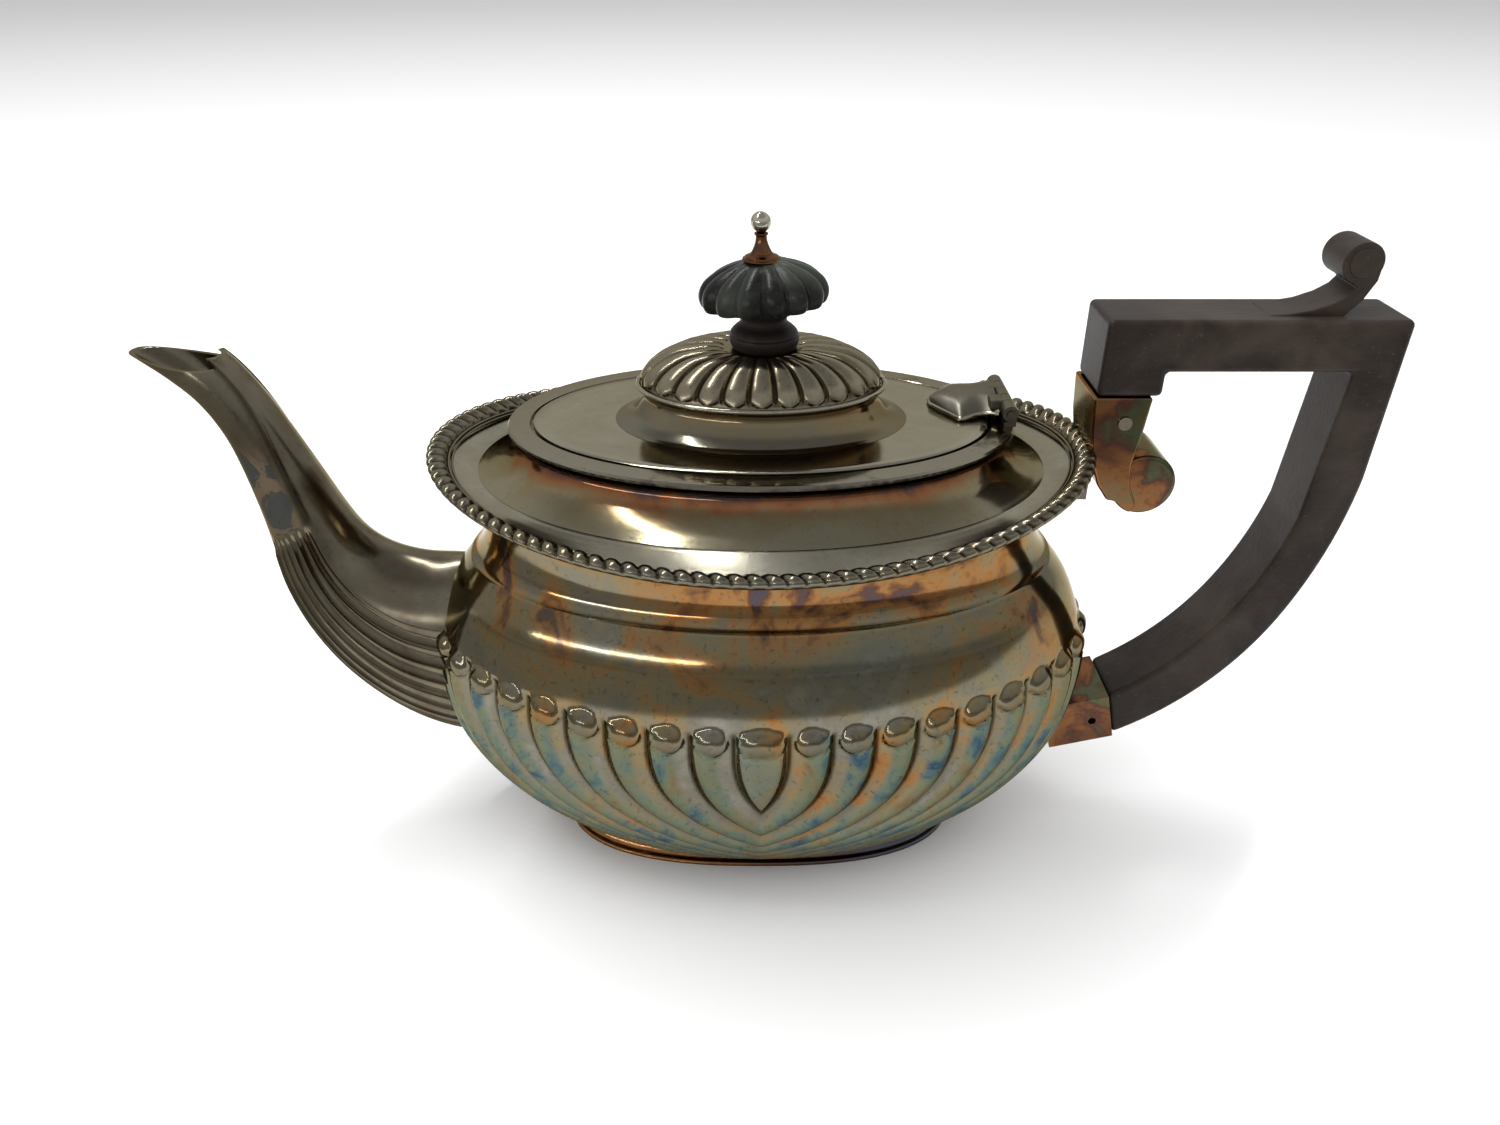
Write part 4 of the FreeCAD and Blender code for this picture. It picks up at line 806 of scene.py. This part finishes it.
CAP_LINE = (
    (1.2, 145.5), (3.9, 145.6), (4.15, 145.85), (4.0, 146.1), (3.6, 146.2), (3.5, 146.5),
    (3.1, 146.65), (2.6, 146.8), (2.4, 147.1), (1.2, 147.2),
)
add_ring(
    "finial_cap_skin", turned_grid(CAP_LINE), stem_metal, "lid", ["finial_cap"],
    30.0,
)
STEM_LINE = (
    (0.4, 121.7), (1.1, 121.7), (1.1, 146.9), (2.3, 147.0), (1.9, 147.8), (1.45, 148.8),
    (1.2, 149.8), (1.15, 150.6), (1.45, 150.9), (1.45, 151.2), (1.0, 151.4), (0.4, 151.6),
)
add_capped(
    "finial_stem", turned_grid(STEM_LINE), stem_metal, "lid", ["finial_bolt"]
)
bead_grid = turned_grid(turn_places(0.0, 153.4, 2.1, -85, 86, 10))
add_capped("finial_bead", bead_grid, bead_metal, "lid", [])

# ---- spout

# From root to mouth: the underside's x and z, the upper side's x and z, and the half width.
SPOUT_SECTIONS = (
    (-65.9, 23.3, -62.1, 73.3, 13.8), (-80.8, 27.2, -71.2, 74.8, 14.0),
    (-92.2, 33.9, -79.1, 75.1, 13.6), (-102.4, 44.1, -84.8, 76.2, 12.7),
    (-109.4, 55.7, -89.8, 78.4, 11.6), (-113.4, 67.7, -93.9, 82.2, 10.5),
    (-114.8, 79.2, -97.4, 88.4, 9.5), (-116.0, 89.1, -101.0, 96.5, 8.7),
    (-117.8, 99.3, -105.0, 105.3, 7.9), (-120.1, 107.5, -108.5, 112.6, 7.3),
    (-124.1, 114.9, -111.5, 118.0, 6.9), (-129.6, 120.5, -114.4, 122.4, 6.6),
    (-136.8, 126.1, -116.6, 125.1, 6.2),
)
SPOUT_WALL, SPOUT_COLUMNS, SPOUT_ROWS, ROOT_STEPS = 1.0, 240, 150, 1200
# The reeds cover the underside up to REED_EDGE, from the root to REED_START of the way up.
REEDS, REED_EDGE, REED_START = 21, 0.64 * math.pi, 0.50
REED_RELIEF, REED_BED, CREASE_DEPTH, CREASE_HALF = 1.25, 0.65, 0.45, 0.10
# Above the reeds a crease climbs to this angle at the mouth, whose side edges dip a little.
CREASE_END, LIP_DIP = 0.78 * math.pi, 0.7
spout_table = np.column_stack([np.arange(len(SPOUT_SECTIONS)), SPOUT_SECTIONS])
spout_turns = closed_turns(SPOUT_COLUMNS)


def spout_points(stations, turns, inset):
    """Points of the spout. Turn 0 is the middle of the underside."""
    low_x, low_z, high_x, high_z, wide = through(spout_table, stations).T
    centre_x, centre_z = (low_x + high_x) / 2, (low_z + high_z) / 2
    span = np.hypot(low_x - high_x, low_z - high_z)
    shrink = (span / 2 - inset) / (span / 2)
    x = centre_x + (low_x - high_x) / 2 * shrink * np.cos(turns)
    z = centre_z + (low_z - high_z) / 2 * shrink * np.cos(turns)
    return np.column_stack([x, (wide - inset) * np.sin(turns), z])


def inside_body(points):
    """Which points lie within the belly, a little in from its surface."""
    z = np.clip(points[:, 2], BASE_Z, RIDGE_Z)
    a, b = body_halves(z)
    return (points[:, 0] / (a - 0.7)) ** 2 + (points[:, 1] / (b - 0.7)) ** 2 < 1


# Each line along the spout starts where it leaves the belly.
last = len(SPOUT_SECTIONS) - 1.0
places = np.linspace(0, last, ROOT_STEPS)
roots = []
for turn_at in spout_turns:
    buried = inside_body(spout_points(places, np.full_like(places, turn_at), 0.0))
    roots.append(places[np.nonzero(buried)[0].max()] if buried.any() else 0.0)
roots = np.array(roots)
from_low = np.abs((spout_turns + math.pi) % TAU - math.pi)
lip_dip = LIP_DIP * ease(0.10 * math.pi, 0.72 * math.pi, from_low)
lip_dip = lip_dip * (1 - ease(0.765 * math.pi, 0.80 * math.pi, from_low))
stations = [roots + (last - lip_dip - roots) * share for share in np.linspace(0, 1, SPOUT_ROWS)]
spout_outside = np.array([spout_points(row, spout_turns, 0.0) for row in stations])
spout_inside = np.array([spout_points(row, spout_turns, SPOUT_WALL) for row in stations])
reed = np.abs(np.cos(math.pi * from_low / REED_EDGE * REEDS / 2)) ** 0.75
spout_share = np.linspace(0, 1, SPOUT_ROWS)[:, None]
tip = REED_START - 0.024 * (1 - reed)
reeded = (1 - ease(REED_EDGE * 0.97, REED_EDGE, from_low)) * (
    1 - ease(-0.016, 0.006, spout_share - tip)
)
crease_at = REED_EDGE + (CREASE_END - REED_EDGE) * ease(REED_START, 1.0, spout_share)
crease_line = np.exp(-(((from_low - crease_at) / CREASE_HALF) ** 2))
crease_line = crease_line * ease(REED_START - 0.02, REED_START + 0.02, spout_share)
reed_lift = (REED_RELIEF * reed - REED_BED) * reeded - CREASE_DEPTH * crease_line
spout_outside = spout_outside + normals_of(spout_outside) * reed_lift[..., None]
spout_grid = np.concatenate([spout_outside, spout_inside[::-1]])
spout_tones = np.zeros((*spout_grid.shape[:2], 3))
between_reeds = (1 - ease(0.2, 0.65, reed)) * reeded
spout_tones[:SPOUT_ROWS, :, 2] = between_reeds * 0.85 + 0.7 * crease_line
patched = ease(REED_START, REED_START + 0.01, spout_share) * (1 - ease(0.66, 0.74, spout_share))
patched = patched * (1 - ease(0.58 * math.pi, 0.62 * math.pi, from_low))
spout_tones[:SPOUT_ROWS, :, 0] = 0.85 * patched
add_ring(
    "spout_skin", spout_grid, spout_metal, "pot", ["spout"], 60.0, spout_tones
)

# ---- handle and sockets

BOW_HALF, SCROLL_HALF, EYE_HALF, SOCKET_HALF, ROLL_HALF = 8.4, 5.0, 5.3, 8.6, 8.3
# Outlines in X and Z. The bow runs round its outside, then back along its inside.
bow_outline = [(71.9, 118.4), (71.9, 135.2), (135.6, 135.2), (134.4, 99.0)]
bow_outline += arc((134.4, 99.0), (124.0, 61.9), 108.0, 1, 14)
bow_outline += arc((124.0, 61.9), (89.6, 27.4), 76.0, 1, 18)
bow_outline += [(86.8, 39.4)]
bow_outline += arc((86.8, 39.4), (112.6, 64.2), 67.0, -1, 16)
bow_outline += arc((112.6, 64.2), (122.2, 88.6), 80.0, -1, 12)
bow_outline += [(125.4, 123.8), (85.8, 123.8), (85.8, 118.4)]
add_slab(
    "handle_bow", bow_outline, -BOW_HALF, BOW_HALF, 1.3, handle_wood, "pot", ["handle"],
)
SCROLL_X, SCROLL_Z, SCROLL_R, EYE_R = 122.9, 146.2, 4.3, 3.1
scroll_outline = [(106.0, 134.6), (121.2, 134.6), (124.6, 138.2), (126.8, 142.6)]
scroll_outline += turn_places(SCROLL_X, SCROLL_Z, SCROLL_R, -20, 266, 11)
scroll_outline += [(122.9, 141.2), (121.6, 139.6), (118.8, 137.9), (114.6, 136.4)]
scroll_outline += [(110.0, 135.6), (106.0, 135.3)]
add_slab(
    "handle_scroll", scroll_outline, -SCROLL_HALF, SCROLL_HALF, 0.5, handle_wood, "pot", [],
)
eye_outline = turn_places(SCROLL_X + 0.2, SCROLL_Z, EYE_R, 0, 360, 12)
add_slab(
    "scroll_eye", eye_outline, -EYE_HALF, EYE_HALF, 0.25, handle_wood, "pot", [],
    2,
)
ROLL = (85.5, 97.5, 7.1)
socket_outline = [(71.4, 118.35), (71.9, 110.0), (73.0, 103.0), (75.0, 97.6), (77.6, 93.9)]
socket_outline += turn_places(*ROLL, 214, 262, 8)
socket_outline += [(84.4, 93.0), (82.2, 98.0), (81.9, 102.6), (83.0, 110.0), (83.9, 118.35)]
add_slab(
    "upper_socket_skin", socket_outline, -SOCKET_HALF, SOCKET_HALF, 0.6, socket_metal, "pot",
    ["upper_socket"],
)
add_slab(
    "thumb_roll", turn_places(*ROLL, 0, 360, 8), -ROLL_HALF, ROLL_HALF, 0.9, socket_metal, "pot",
    [], 4,
)

# ---- hinge

# From the hinge to the front tip: place, x, half width, height of the arch, height of the edge.
LEAF_LINE = (
    (0.0, 52.6, 8.2, 2.6, 1.7), (0.16, 50.8, 7.2, 2.9, 1.4), (0.34, 48.4, 6.8, 3.1, 1.0),
    (0.52, 45.6, 7.9, 3.0, 0.7), (0.60, 44.3, 8.4, 2.8, 0.6), (0.74, 42.4, 6.2, 2.6, 0.6),
    (0.88, 40.4, 3.6, 2.2, 0.6), (1.0, 38.6, 1.0, 1.4, 0.6),
)
LEAF_Y, LEAF_PLATE_Z, LEAF_SPREAD, LEAF_SHEET, LEAF_EDGE_IN = 6.8, 110.9, 1.2, 0.7, 0.3
LEAF_ROLL_R = 0.5
leaf_across = np.linspace(-1, 1, 25)
leaf_x, leaf_half, leaf_arch, leaf_edge = through(LEAF_LINE, np.linspace(0, 1, 31)).T
leaf_half = leaf_half * LEAF_SPREAD


def leaf_row(i, drop):
    """A line across the leaf at its place i, on its top or `drop` below it."""
    y = LEAF_Y + leaf_across * (leaf_half[i] - LEAF_EDGE_IN * (drop > 0))
    z = LEAF_PLATE_Z + leaf_edge[i] + leaf_arch[i] * (1 - np.abs(leaf_across) ** 2.4) - drop
    return np.column_stack([np.full_like(y, leaf_x[i]), y, np.maximum(z, LEAF_PLATE_Z)])


leaf_grid = [
    np.vstack([leaf_row(i, 0.0), leaf_row(i, LEAF_SHEET)[::-1]]) for i in range(len(leaf_x))
]
add_capped(
    "hinge_leaf_shell", np.array(leaf_grid)[::-1], grey_metal, "lid", ["hinge_lid_leaf"],
    50.0,
)


def tube_rows(path, radius, sides):
    """Rows of points round a path."""
    tangent = np.gradient(path, axis=0)
    tangent /= np.linalg.norm(tangent, axis=1, keepdims=True)
    side = np.cross(tangent, (0.0, 0.0, 1.0))
    side /= np.linalg.norm(side, axis=1, keepdims=True)
    up = np.cross(side, tangent)
    turns = closed_turns(sides)[None, :, None]
    around = np.cos(turns) * side[:, None] + np.sin(turns) * up[:, None]
    return path[:, None] + radius * around


edge_path = np.array([
    (x, LEAF_Y + sign * half, LEAF_PLATE_Z + edge - 0.1)
    for sign, order in ((-1, 1), (1, -1))
    for x, half, edge in list(zip(leaf_x, leaf_half, leaf_edge))[::order]
])
add_capped(
    "hinge_leaf_roll", tube_rows(edge_path, LEAF_ROLL_R, 10), bright_metal, "lid", [],
    50.0,
)
HINGE_X, HINGE_Z, HINGE_Y = 54.4, 113.6, 4.0
KNUCKLE_PITCH, KNUCKLE_GAP, KNUCKLE_BORE, KNUCKLE_R, KNUCKLE_ROUND = 4.0, 0.05, 0.9, 1.75, 0.25
KNUCKLE_ARM = [(50.6, 113.0), (54.0, 113.0), (54.0, 115.1), (52.0, 115.3), (50.6, 115.2)]
knuckle_turns = closed_turns(32)
half = KNUCKLE_PITCH / 2 - KNUCKLE_GAP
knuckle_line = [
    (-half, KNUCKLE_BORE), (-half, KNUCKLE_R - KNUCKLE_ROUND), (KNUCKLE_ROUND - half, KNUCKLE_R)
]
knuckle_line += [(-y, radius) for y, radius in knuckle_line[::-1]]
for number, centre in ((1, HINGE_Y - KNUCKLE_PITCH), (2, HINGE_Y + KNUCKLE_PITCH)):
    rows = [
        np.column_stack([
            HINGE_X + radius * np.sin(knuckle_turns), np.full_like(knuckle_turns, centre + y),
            HINGE_Z + radius * np.cos(knuckle_turns),
        ])
        for y, radius in knuckle_line
    ]
    add_ring(
        f"lid_knuckle_{number}", np.array(rows)[::-1], grey_metal, "lid", [], 35.0
    )
    add_slab(
        f"lid_knuckle_arm_{number}", KNUCKLE_ARM, centre - half, centre + half, 0.3, grey_metal,
        "lid", [], 2,
    )

# ---- nodes kept from the model

GREY_NODES = ("hinge_fixed_leaf", "hinge_pin", "socket_stay", "finial_washer", "finial_nut")
KEPT = {"lid_bezel": plate_metal, "lower_socket": socket_metal, "upper_rivet": bright_metal}
KEPT.update(dict.fromkeys(GREY_NODES, grey_metal))
for node, material in KEPT.items():
    kept = bpy.data.objects[node]
    kept.data.materials.clear()
    kept.data.materials.append(material)

# ---- floor, light and camera


def add_light(name, place, aim, size, power):
    """A soft rectangular light; lengths in metres, power in watts."""
    data = bpy.data.lights.new(name, "AREA")
    data.shape = "RECTANGLE"
    data.size, data.size_y = size
    data.energy = power
    lamp = bpy.data.objects.new(name, data)
    SCENE.collection.objects.link(lamp)
    lamp.location = place
    lamp.rotation_euler = (Vector(aim) - Vector(place)).to_track_quat("-Z", "Y").to_euler()
    lamp.visible_camera = False
    return lamp


def lay_sheet(name, paper, points, faces, color):
    """A flat matt sheet on the ground, in metres."""
    mesh = bpy.data.meshes.new(name)
    mesh.from_pydata(points, [], faces)
    material, _, shader = start_material(paper)
    shader.inputs["Base Color"].default_value = (*color, 1.0)
    shader.inputs["Roughness"].default_value = 0.9
    mesh.materials.append(material)
    sheet = bpy.data.objects.new(name, mesh)
    SCENE.collection.objects.link(sheet)
    return sheet


floor = lay_sheet(
    "floor", "floor_paper", [(-8, -8, 0), (8, -8, 0), (8, 8, 0), (-8, 8, 0)], [[0, 1, 2, 3]],
    (0.93, 0.93, 0.93),
)

world = bpy.data.worlds.new("studio")
SCENE.world = world
world.use_nodes = True
sky = world.node_tree
sky_coords = sky.nodes.new("ShaderNodeTexCoord")
sky_split = sky.nodes.new("ShaderNodeSeparateXYZ")
link(sky, sky_coords, "Generated", sky_split, "Vector")


def sky_step(source, low, high):
    """A smooth step on one direction of the sky, from 0 at low to 1 at high."""
    node = sky.nodes.new("ShaderNodeMapRange")
    node.interpolation_type = "SMOOTHSTEP"
    node.inputs["From Min"].default_value = low
    node.inputs["From Max"].default_value = high
    link(sky, sky_split, source, node, "Value")
    return node, "Result"


# The room: a dark side in front of the pot, darkest near the ground; a dim middle height all
# round, brighter above it, and dimmer again overhead.
SIDE_LIGHT, UPPER_LIGHT, OVERHEAD_DIMMING, FRONT_DARK, LOW_DARK = 0.60, 0.15, -0.38, 0.10, 0.36
front = sky_step("Y", 0.15, -0.45)
not_high = sky_step("Z", 0.90, 0.70)
above = sky_step("Z", 0.15, 0.50)
overhead = sky_step("Z", 0.60, 0.85)
dark = math_node(sky, "MULTIPLY", front, not_high)
light = math_node(sky, "MULTIPLY_ADD", above, UPPER_LIGHT, SIDE_LIGHT)
light = math_node(sky, "MULTIPLY_ADD", overhead, OVERHEAD_DIMMING, light)
low = sky_step("Z", 0.15, 0.05)
depth = math_node(sky, "MULTIPLY_ADD", low, LOW_DARK, FRONT_DARK)
dark = math_node(sky, "MULTIPLY", dark, depth)
keep = math_node(sky, "SUBTRACT", 1.0, dark)
sky_level = math_node(sky, "MULTIPLY", light, keep)
link(sky, *sky_level, sky.nodes["Background"], "Color")

# The panel lights the floor and the wood, and metal doesn't mirror it; the tube and the window
# give the metal its thin highlights.
panel = add_light("ceiling_panel", (0.0, 0.0, 2.0), (0, 0, 0), (3.4, 3.4), 46.0)
panel.visible_glossy = False
tube = add_light("ceiling_tube", (-0.34, 0.12, 1.0), (0, 0, 0.08), (1.0, 0.03), 6.0)
tube.rotation_euler = (0.0, 0.0, math.radians(56.0))
add_light("window", (-1.0, -1.25, 0.30), (0, 0, 0.08), (1.5, 0.022), 4.0)

# A dark card lies in front of the pot and to its left, out of sight: only reflections meet it.
card = lay_sheet(
    "black_card", "black_card",
    [(-3, -3, 0.001), (3, -3, 0.001), (3, -0.22, 0.001), (-0.05, -0.21, 0.001),
     (-0.17, -0.15, 0.001), (-0.25, 0.15, 0.001), (-3, 0.15, 0.001)],
    [[0, 1, 2, 3], [0, 3, 4], [0, 4, 5, 6]], (0.26, 0.245, 0.22),
)
card.visible_camera = False
card.visible_diffuse = False
card.visible_shadow = False

camera_data = bpy.data.cameras.new("camera")
camera_data.lens = 26.83
camera_data.sensor_width = 36.0
camera_data.clip_start = 0.01
camera = bpy.data.objects.new("camera", camera_data)
SCENE.collection.objects.link(camera)
camera.location = (-0.00245, -0.23296, 0.2074)
camera.rotation_euler = (math.radians(60.0), 0.0, 0.0)
SCENE.camera = camera
SCENE.view_settings.view_transform = "Standard"

bpy.context.view_layer.update()
